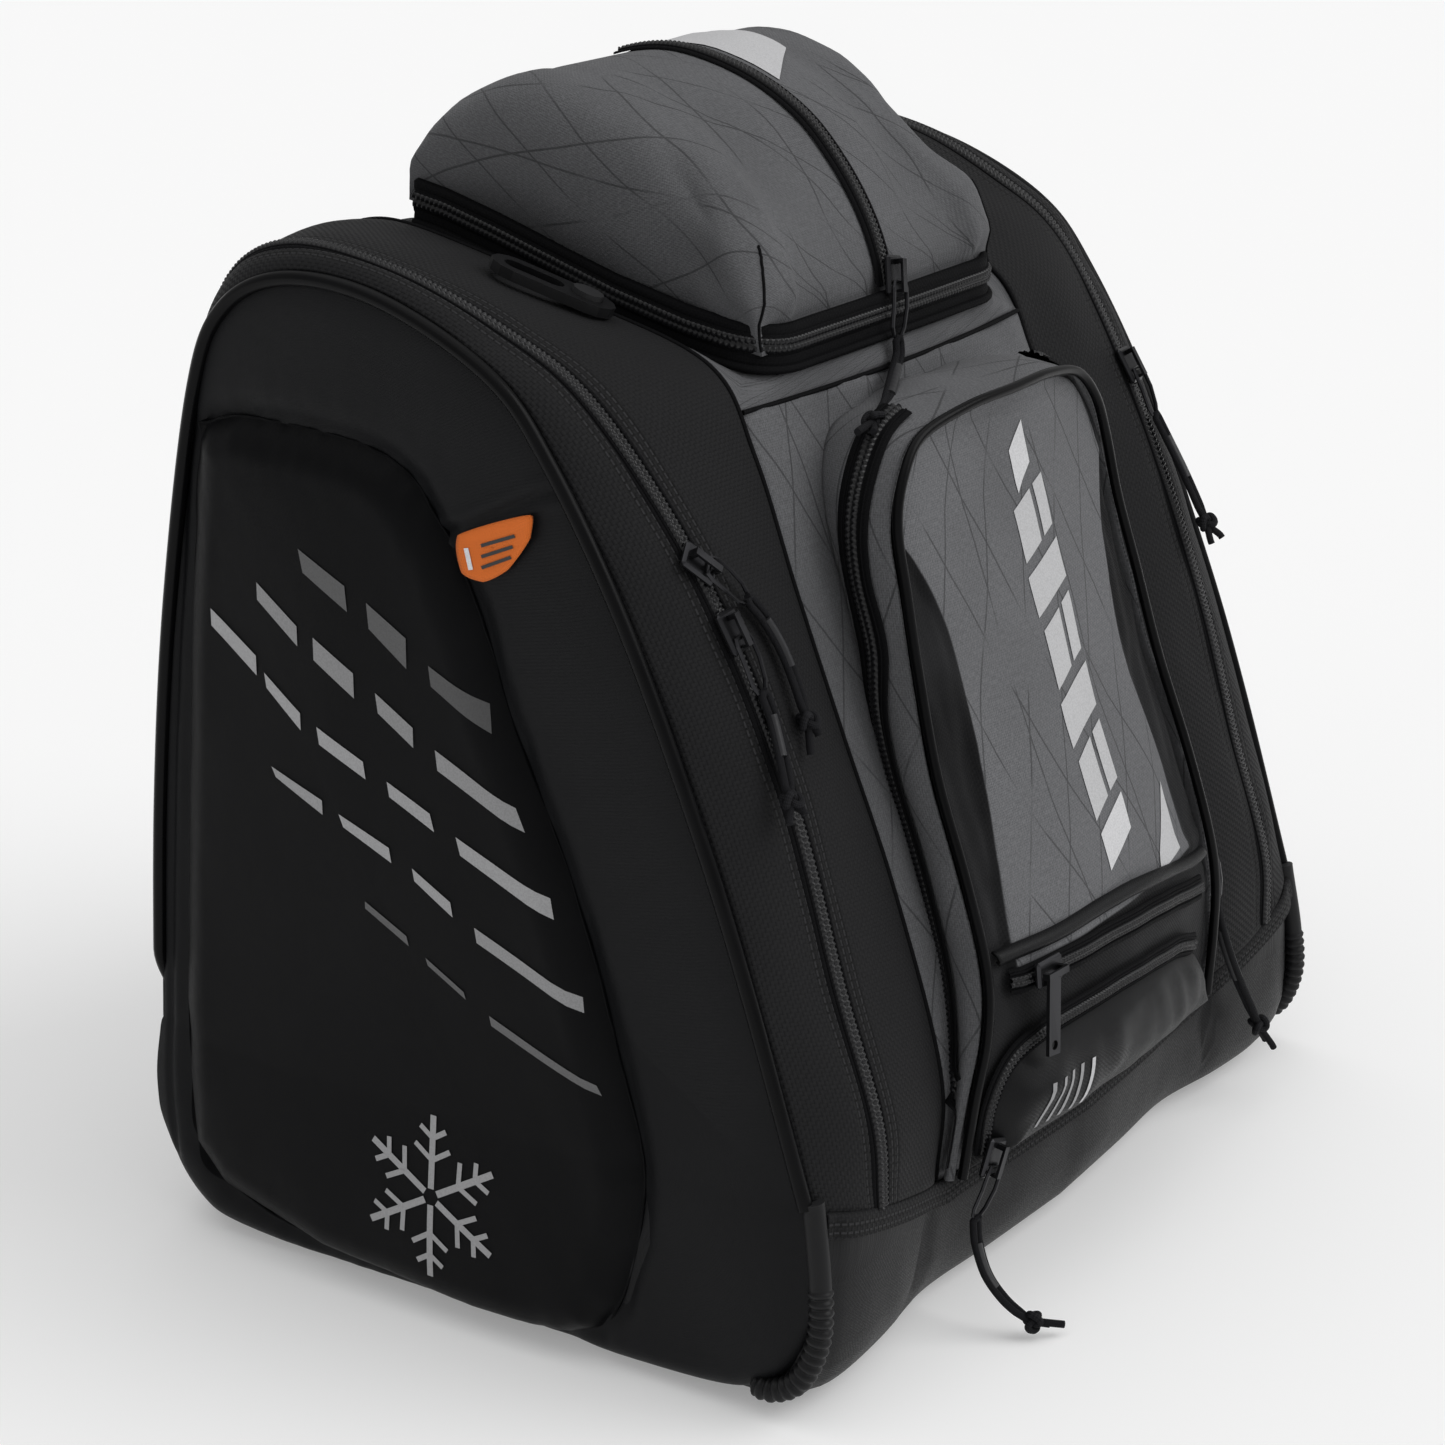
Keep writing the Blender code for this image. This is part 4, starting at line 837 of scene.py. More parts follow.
def make_base():
    P = tub_rows()
    bottom = P[:1] * np.array([0.02, 0.02, 1.0])
    middle = P[:1] * np.array([0.5, 0.5, 1.0])
    tub = grid("base_tub_cloth", np.concatenate([bottom, middle, P], 0), MAT["tarp_base"],
               wrap=True, thick=HEAVY_THICK)
    finish_piece(tub, "bag", ("base_tub",))
    rim = P[-1]
    front = rim[(rim[:, 1] < -0.12) & (np.abs(rim[:, 0]) < 0.2015)]
    front = front[np.argsort(front[:, 0])]
    fold = resample(front, 260) + np.array([0, -0.0010, 0.0008])
    n = np.tile(np.array([0.0, -0.985, 0.17]), (len(fold), 1))
    t = unit(np.gradient(fold, axis=0))
    across = unit(np.cross(t, n))
    if across[:, 2].mean() < 0:
        across = -across
    steps = np.array([-0.0085, -0.0080, -0.0040, -0.0005, 0.0012, 0.0016])
    lift = np.array([-0.0002, 0.0007, 0.0009, 0.0010, 0.0006, -0.0010])
    B = fold[:, None] + across[:, None] * steps[None, :, None] + n[:, None] * lift[None, :, None]
    band = grid("base_binding", B, MAT["ballistic"], outside=(0, -1, 0), thick=0.0008)
    finish_piece(band, "bag")
    set_material(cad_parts["base_board"], MAT["plastic"])


def set_material(made, mat):
    """Give a CAD node its material, in its own slots."""
    if not made.data.materials:
        made.data.materials.append(mat)
    for i in range(len(made.material_slots)):
        made.material_slots[i].link = "OBJECT"
        made.material_slots[i].material = mat


def make_front_panel():
    z = np.linspace(0.058, 0.3562, 90)[:, None]
    x = np.linspace(-0.1086, 0.1086, 56)[None]
    X = np.broadcast_to(x, (90, 56))
    Z = np.broadcast_to(z, (90, 56))
    Y = front_surface(X, Z)
    P = np.stack([X, Y, Z], -1)
    near = smoothstep(SEAM_X - np.abs(X), 0.0, 0.012)
    P[..., 1] -= (wob(P * np.array([1, 1, 0.35]), 0.024, 11.0) * 0.0022 + 0.0008) * near
    panel = grid("front_panel_cloth", P, MAT["grey"], outside=(0, -1, 0), thick=CLOTH_THICK)
    finish_piece(panel, "bag", ("front_panel",))
    x = np.linspace(-0.1075, 0.1075, 90)
    seam = np.column_stack([x, front_surface(x, 0.3555) - 0.0003, np.full(90, 0.3562)])
    finish_piece(seam_rope("collar_seam", seam, 0.0010), "bag")


LID_FOOT = np.array([(-0.074, 0.369), (-0.062, 0.371), (-0.039, 0.375), (-0.006, 0.383),
                     (0.023, 0.392), (0.052, 0.401), (0.077, 0.408), (0.098, 0.412)])
LID_CROWN = [(-0.074, 0.374), (-0.070, 0.396), (-0.062, 0.415), (-0.049, 0.434), (-0.032, 0.451),
             (-0.008, 0.464), (0.021, 0.4715), (0.045, 0.4705), (0.070, 0.4620),
             (0.087, 0.4515), (0.0965, 0.4370), (0.098, 0.418)]


def foot_z(y):
    return np.interp(y, LID_FOOT[:, 0], LID_FOOT[:, 1])


def lid_loop(count, grow=0.0):
    """Plan of the lid's foot: a rounded rectangle, from the rear left over the front."""
    half = 0.0915 + grow
    pts = [(-half, 0.092), (-half, 0.050), (-half, 0.0), (-half, -0.045), (-half + 0.003, -0.064),
           (-half + 0.014, -0.0735 - grow), (-0.055, -0.0748 - grow), (0.0, -0.0752 - grow)]
    pts = pts + [(-x, y) for x, y in reversed(pts[:-1])]
    return spline(pts, count)


def make_collar():
    """Cloth between the lid's foot and the side seams, and the yoke behind the lid."""
    count = 220
    loop = lid_loop(count, 0.0014)
    inner = np.column_stack([loop, foot_z(loop[:, 1]) - 0.0034])
    seam = arch_lines(1, 400)[2]
    top = seam[seam[:, 2] > 0.3540]
    outer = []
    for x, y in loop:
        if y > -0.062:
            oy = -0.0717 + (y + 0.062) * 1.21
            outer.append((math.copysign(0.1092, x), oy, np.interp(oy, top[:, 1], top[:, 2])))
        else:
            ox = x * 0.1092 / 0.0905
            outer.append((ox, front_surface(ox, 0.3562), 0.3566))
    outer = np.array(outer)
    f = np.linspace(0, 1, 9)[:, None, None]
    P = inner[None] * (1 - f) + outer[None] * f
    P[..., 2] += 0.0012 * np.sin(math.pi * f[..., 0])
    P[1:-1] += wob(P[1:-1], 0.03, 13.0)[..., None] * np.array([0.0, -0.5, 1.0]) * 0.0016
    collar = grid("top_collar_cloth", P, MAT["grey"], outside=(0, -0.3, 1), thick=CLOTH_THICK)
    finish_piece(collar, "bag", ("top_collar",))
    x = np.linspace(-0.1085, 0.1085, 60)
    near = np.column_stack([x, np.full(60, 0.093), np.full(60, 0.4035)])
    mid = np.column_stack([x, np.full(60, 0.112), np.full(60, 0.4045)])
    low = np.column_stack([x, np.full(60, 0.129), np.full(60, 0.3930)])
    end = np.column_stack([x, np.full(60, 0.1345), np.full(60, 0.3660)])
    back = spline(np.array([near, mid, low, end]).reshape(4, -1), 14).reshape(14, 60, 3)
    yoke = grid("rear_yoke", back, MAT["ballistic_plain"], outside=(0, 1, 1), thick=HEAVY_THICK)
    finish_piece(yoke, "bag")


def make_lid():
    crown = spline(LID_CROWN, 64)
    k = np.linspace(-1, 1, 97)
    back = ((crown[:, 0] + 0.074) / 0.172)[:, None]
    power = 2.0 / (5.6 + (9.0 - 5.6) * back)
    theta = k[None] * math.pi / 2
    across = np.sign(theta) * np.abs(np.sin(theta)) ** power
    rise = np.clip(np.cos(theta), 0, 1) ** power
    foot = foot_z(crown[:, 0])[:, None] + 0.0048
    Y = np.broadcast_to(crown[:, :1], across.shape)
    Z = foot + (np.maximum(crown[:, 1:], foot) - foot) * rise
    X = 0.092 * across
    P = np.stack([X, Y, Z], -1)
    tuck = 1 - smoothstep(Z - foot, 0.008, 0.020)
    P[..., 0] *= 1 - 0.030 * tuck
    P[..., 1] += 0.0022 * tuck * smoothstep(-Y, 0.040, 0.070)
    n = turned_out(normals_of(P), P - np.array((0, 0.01, 0.38)))
    h = np.minimum(Z - foot, 0.09)
    near_front = np.clip((0.020 - Y) / 0.09, 0, 1)
    corner = np.exp(-(((np.abs(X) - 0.079) / 0.013) ** 2)) * np.exp(-((Y + 0.062) / 0.024) ** 2)
    tall = smoothstep(h, 0.010, 0.022) * (1 - smoothstep(h, 0.034, 0.052))
    bulge = 0.0066 * corner * tall
    dimple = -0.0085 * np.exp(-(((np.abs(X) - 0.088) / 0.010) ** 2)) * np.exp(
        -((Y + 0.040) / 0.020) ** 2) * smoothstep(h, 0.010, 0.026)
    sag = -0.0062 * np.exp(-((np.abs(X) - 0.050) / 0.018) ** 2) * np.exp(
        -((Y + 0.035) / 0.030) ** 2)
    ridge = 0.0022 * np.exp(-((np.abs(X) - 0.074 + h * 0.20) / 0.0045) ** 2) * near_front
    soft = wob(P * np.array([1.0, 0.6, 0.8]), 0.040, 17.0) * 0.0040
    fine = wob(P * np.array([1.6, 1.0, 0.5]), 0.016, 21.0) * 0.0009
    away = smoothstep(np.abs(X), 0.006, 0.018)
    total = (bulge + dimple + sag + ridge) + (soft + fine) * away * smoothstep(h, 0.010, 0.03)
    P = P + n * total[..., None]
    dome = grid("lid_dome_cloth", P, MAT["grey"], thick=CLOTH_THICK)
    finish_piece(dome, "lid", ("lid_dome",))
    x = np.linspace(-0.086, 0.086, 60)
    strip_rows = np.array([np.column_stack([x, np.full(60, y), np.full(60, z)]) for y, z in (
        (0.0900, 0.4010), (0.0955, 0.4060), (0.0985, 0.4120), (0.0990, 0.4180),
        (0.0984, 0.4260), (0.0970, 0.4275))])
    hinge = grid("lid_hinge_strip", strip_rows, MAT["ballistic_plain"], outside=(0, 1, 0),
                 thick=SKIN_THICK)
    finish_piece(hinge, None, (), ("bag", "lid", (0.0, 0.098, 0.4085),
                                                (0.0, 0.098, 0.4180)))
    line = np.column_stack([np.zeros(64), crown])[3:46]
    line = resample(line, 130)
    nn = turned_out(unit(np.cross(np.gradient(line, axis=0), (1.0, 0, 0))),
                    np.array([0, -1, 1]))
    zip_strip("lid_top_coil", line, nn, 0.0062, "lid", ("lid_top_zip",), lift=0.0012,
              teeth_half=0.0024, pitch=0.0021)
    for side, word in SIDES:
        tree = tree_of(dome)[0]
        hit = []
        for f in np.linspace(0, 1, 26):
            p = Vector((side * (0.0865 - 0.006 * f), -0.0700 + 0.004 * f, 0.3765 + 0.044 * f))
            spot, normal, _, _ = tree.find_nearest(p + Vector((side * 0.004, -0.004, 0)))
            hit.append(spot + normal * 0.0001)
        finish_piece(seam_rope("lid_dart_" + word, np.array(hit), 0.0006), "lid")
    return dome


def make_lid_zip():
    loop = lid_loop(360, 0.0)
    line = np.column_stack([loop, foot_z(loop[:, 1])])
    up = np.array([0, 0, 1.0])
    n = unit(np.cross(unit(np.gradient(line, axis=0)), up))
    n = turned_out(n, line - np.array((0, 0.01, 0.39)))
    steps = [(-0.0040, -0.0012), (-0.0030, 0.0016), (0.0004, 0.0026), (0.0030, 0.0020),
             (0.0048, 0.0014), (0.0106, 0.0014), (0.0122, 0.0020), (0.0150, 0.0018),
             (0.0157, -0.0010)]
    P = np.stack([line + up * dz + n * out for dz, out in steps], 1)
    tape = grid("lid_zip_tape", P, MAT["tape"], thick=0.0008)
    finish_piece(tape, "bag", ("lid_zip",))
    zip_strip("lid_zip_coil", line + up * 0.0078, n, 0.0046, "bag", lift=0.0018,
              teeth_half=0.0031, pitch=0.0023)
    welt = line + up * -0.0016 + n * 0.0028
    finish_piece(rope("lid_welt", welt, 0.0017, MAT["tape"], 10), "bag")


# ---- front pocket -------------------------------------------------------------------------

POCKET_EDGE = [(0.105, -0.176, 0.062), (0.102, -0.179, 0.094), (0.097, -0.181, 0.120),
               (0.093, -0.178, 0.145), (0.0915, -0.167, 0.180), (0.090, -0.1525, 0.219),
               (0.087, -0.1415, 0.258), (0.0835, -0.1335, 0.288), (0.082, -0.128, 0.313),
               (0.075, -0.126, 0.331), (0.060, -0.125, 0.344), (0.030, -0.128, 0.350),
               (0.0, -0.130, 0.351)]


def pocket_line(count):
    half = [(-x, y, z) for x, y, z in POCKET_EDGE]
    return spline(half + [(-x, y, z) for x, y, z in reversed(half[:-1])], count)


EDGE_TABLE = np.array(POCKET_EDGE)


def face_y(x, z):
    half = np.interp(z, EDGE_TABLE[:, 2], EDGE_TABLE[:, 0])
    edge = np.interp(z, EDGE_TABLE[:, 2], EDGE_TABLE[:, 1])
    share = np.minimum(np.abs(x) / np.maximum(half, 0.01), 1.0)
    low = np.clip((z - 0.062) / 0.040, 0, 1) * 0.6 + 0.4
    top = np.clip((0.351 - z) / 0.090, 0, 1) ** 0.6
    return edge - 0.010 * (1 - share ** 2) * low * top


INSET = np.array([(0.06, 0.080), (0.143, 0.077), (0.179, 0.071), (0.209, 0.0655), (0.235, 0.0625),
                  (0.259, 0.0635), (0.279, 0.067), (0.296, 0.0735), (0.306, 0.080), (0.32, 0.1)])


def pocket_surface(x, z):
    y = face_y(x, z)
    over = np.abs(x) - np.interp(z, INSET[:, 0], INSET[:, 1])
    body = smoothstep(z, 0.120, 0.150)
    sunk = smoothstep(over, -0.001, 0.004) * body
    y = y + 0.0016 * sunk * smoothstep(0.040 - np.abs(over), 0.0, 0.01)
    q = np.stack([x, z * 0.25], -1)
    y = y - wob(q, 0.0075, 23.0) * 0.0016 * sunk
    q = np.stack([x, z], -1)
    y = y - wob(q, 0.055, 29.0) * 0.0030 * (1 - sunk) * body
    y = y - wob(q * (1, 0.5), 0.020, 31.0) * 0.0007
    flap = np.exp(-((z - 0.1430) / 0.0040) ** 2) * 0.0014
    return y - flap


def make_pocket():
    line = pocket_line(260)
    root = np.column_stack([line[:, 0] * 0.985,
                            front_surface(line[:, 0], np.minimum(line[:, 2], 0.355)) - 0.0008,
                            line[:, 2] - 0.001])
    f = np.linspace(0, 1, 16)[None, :, None]
    P = line[:, None] * (1 - f) + root[:, None] * f
    side = np.sign(P[..., 0]) * np.minimum(np.abs(P[..., 0]) / 0.02, 1)
    P[..., 0] += side * (0.0045 * (1 - f[..., 0]) + 0.004 * np.sin(math.pi * f[..., 0]))
    P[..., 2] += smoothstep(P[..., 2], 0.335, 0.348) * 0.004 * np.sin(math.pi * f[..., 0])
    P += unit(P - np.array((0, -0.1, 0.2))) * (wob(P, 0.028, 37.0) * 0.0018)[..., None]
    gusset = grid("pocket_gusset_cloth", P, MAT["grey"], thick=SKIN_THICK)
    finish_piece(gusset, "bag", ("pocket_gusset",))
    pipe = line + np.column_stack([np.sign(line[:, 0]) * np.minimum(np.abs(line[:, 0]) / 0.02, 1)
                                   * 0.0032, np.full(260, -0.0028), np.full(260, 0.0010)])
    finish_piece(rope("pocket_piping_round", pipe, 0.0021, MAT["piping"], 12), "bag",
                 ("pocket_piping",))
    lower = np.column_stack([np.linspace(0.103, -0.103, 70), np.full(70, 0.0615)])[1:-1]
    outline = evenly_round(np.vstack([line[:, (0, 2)], lower]), 440)
    centre = np.array((0.0, 0.2))
    outline = outline + unit(centre - outline) * 0.0012
    xz = rings(outline, centre, 90, 1.1)
    Y = pocket_surface(xz[..., 0], xz[..., 1])
    F = np.stack([xz[..., 0], Y, xz[..., 1]], -1)
    face = grid("pocket_face_cloth", F, MAT["grey_face"], wrap=True, outside=(0, -1, 0))
    flat_uvs(face, 1.05)
    face.modifiers.new("wall", "SOLIDIFY").thickness = SKIN_THICK
    finish_piece(face, "bag", ("pocket_face",))
    for sign, word in SIDES:
        rows = P[(P[:, 0, 0] * sign > 0.052) & (P[:, 0, 2] > 0.064)]
        rows = rows[np.argsort(-rows[:, 0, 2], kind="stable")]
        share = np.interp(rows[:, 0, 2], [0.06, 0.15, 0.21, 0.24, 0.265, 0.292, 0.315, 0.331, 0.35],
                          [0.90, 0.88, 0.84, 0.78, 0.50, 0.56, 0.46, 0.40, 0.34])
        pick = share * 15
        low = np.minimum(pick.astype(int), 14)
        rest = (pick - low)[:, None]
        index = np.arange(len(rows))
        zline = rows[index, low] * (1 - rest) + rows[index, low + 1] * rest
        du = np.gradient(rows, axis=0)
        dv = np.gradient(rows, axis=1)
        n = unit(np.cross(du, dv))[index, low]
        n = turned_out(n, zline - np.array((0, -0.12, 0.2)))
        for _ in range(6):
            n[1:-1] = unit(n[:-2] + n[1:-1] + n[2:])
            zline[1:-1] = (zline[:-2] + 2 * zline[1:-1] + zline[2:]) / 4
        zip_strip("pocket_coil_" + word, zline[:-1], n[:-1], 0.0072, "bag",
                  ("pocket_zip_" + word,), lift=0.0016, teeth_half=0.0026)
    return face


def on_face(points, lift, count):
    """Line on the pocket's face through (x, z) points, and its normals."""
    xz = spline(points, count)
    y = pocket_surface(xz[:, 0], xz[:, 1])
    e = 0.002
    dx = (face_y(xz[:, 0] + e, xz[:, 1]) - face_y(xz[:, 0] - e, xz[:, 1])) / (2 * e)
    dz = (face_y(xz[:, 0], xz[:, 1] + e) - face_y(xz[:, 0], xz[:, 1] - e)) / (2 * e)
    n = unit(np.column_stack([dx, -np.ones(count), dz]))
    return np.column_stack([xz[:, 0], y, xz[:, 1]]) + n * lift, n


LOWER_OUTLINE = [(-0.090, 0.0635), (-0.0925, 0.075), (-0.090, 0.090), (-0.082, 0.101),
                 (-0.066, 0.1065), (-0.035, 0.1085), (0.010, 0.107), (0.050, 0.102),
                 (0.078, 0.094), (0.090, 0.080), (0.092, 0.0635), (0.045, 0.0625),
                 (0.0, 0.0625), (-0.045, 0.0625)]


def make_lower_pocket():
    outline = spline(LOWER_OUTLINE, 301, True)[:-1]
    xz = rings(outline, (0.0, 0.084), 44, 1.3)
    d = distance_to(xz, outline)
    x, z = xz[..., 0], xz[..., 1]
    rise = 0.0120 * (1 - (1 - np.clip(d / 0.020, 0, 1)) ** 2.0)
    crease = wob(xz * (1, 0.4), 0.016, 41.0) * 0.0020 * smoothstep(d, 0.0, 0.010)
    sag = wob(xz * (0.35, 1), 0.014, 43.0) * 0.0022 * smoothstep(d, 0.002, 0.012)
    y = face_y(x, z) - 0.0026 - rise - crease - sag
    P = np.stack([x, y, z], -1)
    P = np.concatenate([P, P[-1:] + np.array([0, 0.0035, 0])], 0)
    pocket = grid("lower_pocket_cloth", P, MAT["tarp_base"], wrap=True, outside=(0, -1, 0))
    finish_piece(pocket, "bag", ("lower_pocket",))
    line, n = on_face([(0.074, 0.1005), (0.050, 0.1075), (0.010, 0.1125), (-0.035, 0.1140),
                       (-0.068, 0.1120), (-0.0860, 0.1040), (-0.0945, 0.0900),
                       (-0.0955, 0.0700)], 0.0032, 150)
    zip_strip("lower_pocket_coil", line, n, 0.0052, "bag", ("lower_pocket_zip",),
              teeth_half=0.0022, pitch=0.0020)
    line, n = on_face([(-0.082, 0.1372), (-0.030, 0.1365), (0.030, 0.1320), (0.080, 0.1240)],
                      0.0030, 120)
    zip_strip("slash_coil", line, n, 0.0055, "bag", ("slash_zip",), teeth_half=0.0022,
              pitch=0.0020)
    x = np.linspace(-0.088, 0.086, 90)
    rows = []
    for dz, out in ((0.0050, 0.0018), (0.0034, 0.0040), (0.0014, 0.0048), (-0.0004, 0.0036),
                    (0.0008, 0.0024)):
        z = 0.1468 + dz - 0.0105 * smoothstep(x, 0.0, 0.085)
        rows.append(np.column_stack([x, face_y(x, z) - out - 0.0006 * np.sin(x * 90), z]))
    flap = grid("slash_flap", np.array(rows), MAT["tarp_base"], outside=(0, -1, 0.3), thick=0.001)
    finish_piece(flap, "bag")
    return pocket


# ---- prints and label ---------------------------------------------------------------------


def tree_of(*pieces):
    graph = bpy.context.evaluated_depsgraph_get()
    return [BVHTree.FromObject(p, graph) for p in pieces]


def project(trees, point, direction, lift):
    """Where a ray first meets one of the surfaces, raised a little, or None."""
    best = None
    for tree in trees:
        spot, normal, _, far = tree.ray_cast(Vector(point), Vector(direction))
        if spot is not None and (best is None or far < best[1]):
            best = (spot - Vector(direction) * lift, far)
    return best[0] if best else None


def decals(name, quads, trees, direction, start, mat, body, fold=None, lift=0.00035):
    """Thin prints: each quad of corners, tone and side counts is laid on the surface.

    A quad with a corner that misses the surface is left out.
    """
    verts, faces, tones = [], [], []
    for corners, tone, steps in quads:
        a, b, c, d = (np.array(p, float) for p in corners)
        n, m = steps
        base = len(verts)
        ok = True
        for i in range(n + 1):
            for j in range(m + 1):
                f, g = i / n, j / m
                p = (a * (1 - f) + b * f) * (1 - g) + (d * (1 - f) + c * f) * g
                spot = project(trees, start(p), direction, lift)
                if spot is None:
                    ok = False
                    spot = Vector(start(p))
                verts.append(tuple(spot))
                tones.append(tone)
        if not ok:
            del verts[base:]
            del tones[base:]
            continue
        for i in range(n):
            for j in range(m):
                q = base + i * (m + 1) + j
                faces.append((q, q + 1, q + m + 2, q + m + 1))
    made = add_mesh(name, verts, faces, mat)
    layer = made.data.attributes.new("tone", "FLOAT", "POINT")
    layer.data.foreach_set("value", np.array(tones, np.float32))
    uv = made.data.uv_layers.new(name="UVMap").data
    for loop in made.data.loops:
        p = verts[loop.vertex_index]
        uv[loop.index].uv = (p[2], p[1] + p[0])
    out = Vector(direction) * -1
    if sum((f.normal.dot(out) for f in made.data.polygons)) < 0:
        made.data.flip_normals()
    return finish_piece(made, body, (), fold)


# Corners of each printed dash, as y, z pairs in mm, and its grey.
DASHES = [
    ((100, 277, 77, 262, 77, 254, 100, 270), 0.34), ((75, 292, 55, 278, 55, 270, 75, 285), 0.24),
    ((53, 309, 31, 298, 30, 288, 51, 300), 0.085), ((73, 256, 55, 243, 55, 236, 72, 250), 0.34),
    ((47, 275, 28, 264, 28, 254, 47, 266), 0.24), ((21, 293, 3, 282, 3, 270, 20, 283), 0.085),
    ((47, 239, 25, 229, 24, 222, 46, 232), 0.34), ((18, 258, 1, 247, 1, 239, 17, 250), 0.24),
    ((-7, 273, -31, 261, -33, 250, -8, 265), 0.065), ((71, 218, 46, 209, 46, 203, 69, 214), 0.30),
    ((38, 205, 14, 196, 13, 190, 36, 200), 0.34), ((14, 223, -6, 214, -8, 207, 13, 217), 0.33),
    ((-9, 240, -44, 223, -48, 214, -10, 232), 0.26), ((3, 190, -15, 180, -16, 174, 2, 185), 0.33),
    ((-18, 207, -59, 190, -61, 182, -20, 200), 0.33), ((27, 171, 7, 161, 6, 157, 27, 168), 0.09),
    ((-2, 154, -20, 144, -21, 141, -3, 151), 0.09),
    ((-26, 172, -73, 153, -74, 147, -27, 166), 0.27),
    ((-32, 137, -80, 119, -82, 115, -33, 133), 0.11)]


def bar(a, b, width):
    """Corners of a bar between two (y, z) points."""
    a, b = np.array(a, float), np.array(b, float)
    d = unit((b - a)[None])[0]
    s = np.array([-d[1], d[0]]) * width / 2
    return [a + s, b + s, b - s, a - s]


def flake(centre, size):
    """A plain six-armed snow crystal of bars."""
    out = []
    for k in range(6):
        ang = math.pi / 2 + k * math.pi / 3
        d = np.array([math.cos(ang), math.sin(ang)])
        out.append(bar(centre + d * size * 0.10, centre + d * size, size * 0.085))
        for f, reach in ((0.45, 0.30), (0.72, 0.22)):
            for turn in (-1, 1):
                e = np.array([math.cos(ang + turn * 1.0), math.sin(ang + turn * 1.0)])
                at = centre + d * size * f
                out.append(bar(at, at + e * size * reach, size * 0.065))
    return out


def make_side_prints(side, word, pad, cloth_piece):
    quads = []
    for numbers, tone in DASHES:
        corners = [(numbers[k] / 1000, numbers[k + 1] / 1000) for k in (0, 2, 4, 6)]
        quads.append((corners, tone, (8, 3)))
    for c in flake(np.array((-0.004, 0.054)), 0.034):
        quads.append((c, 0.33, (6, 2)))
    decals("side_print_" + word, quads, tree_of(pad, cloth_piece), (-side, 0, 0),
           lambda p: (side * 0.30, p[0], p[1]), MAT["print"], None, fold_line(side))
    outline = [(-0.017, 0.3235), (-0.050, 0.3365), (-0.050, 0.3270), (-0.040, 0.3140),
               (-0.029, 0.3075), (-0.0185, 0.3090)]
    smooth = spline(outline, 81, True)[:-1] * 0.5 + evenly_round(np.array(outline), 80) * 0.5
    yz = rings(smooth, smooth.mean(0), 9)
    P = with_x(yz, side * (edge_x(yz[..., 1]) + 0.0046))
    P[..., 0] += side * 0.0006 * smoothstep(distance_to(yz, smooth), 0, 0.002)
    label = grid("side_label_" + word, P, MAT["label"], wrap=True, outside=(side, 0, 0))
    label.modifiers.new("wall", "SOLIDIFY").thickness = 0.0011
    finish_piece(label, word + "_door")
    marks = [(bar((-0.0285, 0.3215 - 0.0042 * k), (-0.0440 + 0.001 * k, 0.3277 - 0.0042 * k),
                  0.0013), 0.02, (6, 1)) for k in range(3)]
    marks.append((bar((-0.0215, 0.3195), (-0.0235, 0.3115), 0.0022), 0.75, (4, 1)))
    decals("label_marks_" + word, marks, tree_of(label), (-side, 0, 0),
           lambda p: (side * 0.30, p[0], p[1]), MAT["print"], word + "_door")


def make_front_prints(face, lower, dome):
    quads = []
    line = np.array([(0.006, 0.332), (0.0075, 0.290), (0.0090, 0.250), (0.0105, 0.215),
                     (0.0110, 0.190), (0.0120, 0.160)])
    z = 0.331
    for height, half, tone in ((0.017, 0.0050, 0.62), (0.021, 0.0105, 0.50), (0.016, 0.0115, 0.50),
                               (0.024, 0.0105, 0.50), (0.018, 0.0115, 0.50),
                               (0.024, 0.0105, 0.50), (0.015, 0.0100, 0.62)):
        low = z - height
        ct = np.interp(z, line[::-1, 1], line[::-1, 0])
        cb = np.interp(low, line[::-1, 1], line[::-1, 0])
        lean = 0.0050
        half *= 1.25
        mid = 0.15 if height > 0.02 else 1.0
        quads.append(([(ct - half, z - lean), (ct + half * mid, z + lean * mid),
                       (cb + half * mid, low + lean * mid), (cb - half, low - lean)], tone,
                      (5, 5)))
        if mid < 1:
            quads.append(([(ct + half * 0.38, z + lean * 0.38), (ct + half, z + lean),
                           (cb + half, low + lean), (cb + half * 0.38, low + lean * 0.38)], tone,
                          (3, 5)))
        z = low - 0.0055
    quads.append(([(0.062, 0.1755), (0.0665, 0.146), (0.0480, 0.1450), (0.0400, 0.1450)], 0.50,
                  (5, 5)))
    decals("pocket_print", quads, tree_of(face), (0, 1, 0), lambda p: (p[0], -0.30, p[1]), MAT["print"],
           "bag")
    stripes = []
    for k in range(5):
        x0 = -0.070 + 0.0075 * k
        stripes.append(([(x0, 0.0935), (x0 + 0.0022, 0.0935), (x0 - 0.0015, 0.074),
                         (x0 - 0.0037, 0.074)], 0.30 if k < 4 else 0.55, (1, 6)))
    decals("lower_print", stripes, tree_of(lower), (0, 1, 0), lambda p: (p[0], -0.30, p[1]),
           MAT["print"], "bag")
    patch = [([(0.0125, -0.014), (0.0125, 0.072), (0.060, 0.060), (0.052, 0.008)], 0.55, (14, 12))]
    decals("lid_patch", patch, tree_of(dome), (0, 0, -1), lambda p: (p[0], p[1], 0.60),
           MAT["print"], "lid", lift=0.0005)


# ---- pulls --------------------------------------------------------------------------------


def axes_at(spot, along, normal):
    """A pull's own frame: x along the pull, z away from the bag."""
    z = Vector(normal).normalized()
    x = Vector(along)
    x = (x - z * x.dot(z)).normalized()
    y = z.cross(x)
    return Matrix(((x.x, y.x, z.x, spot[0]), (x.y, y.y, z.y, spot[1]), (x.z, y.z, z.z, spot[2]),
                   (0, 0, 0, 1)))


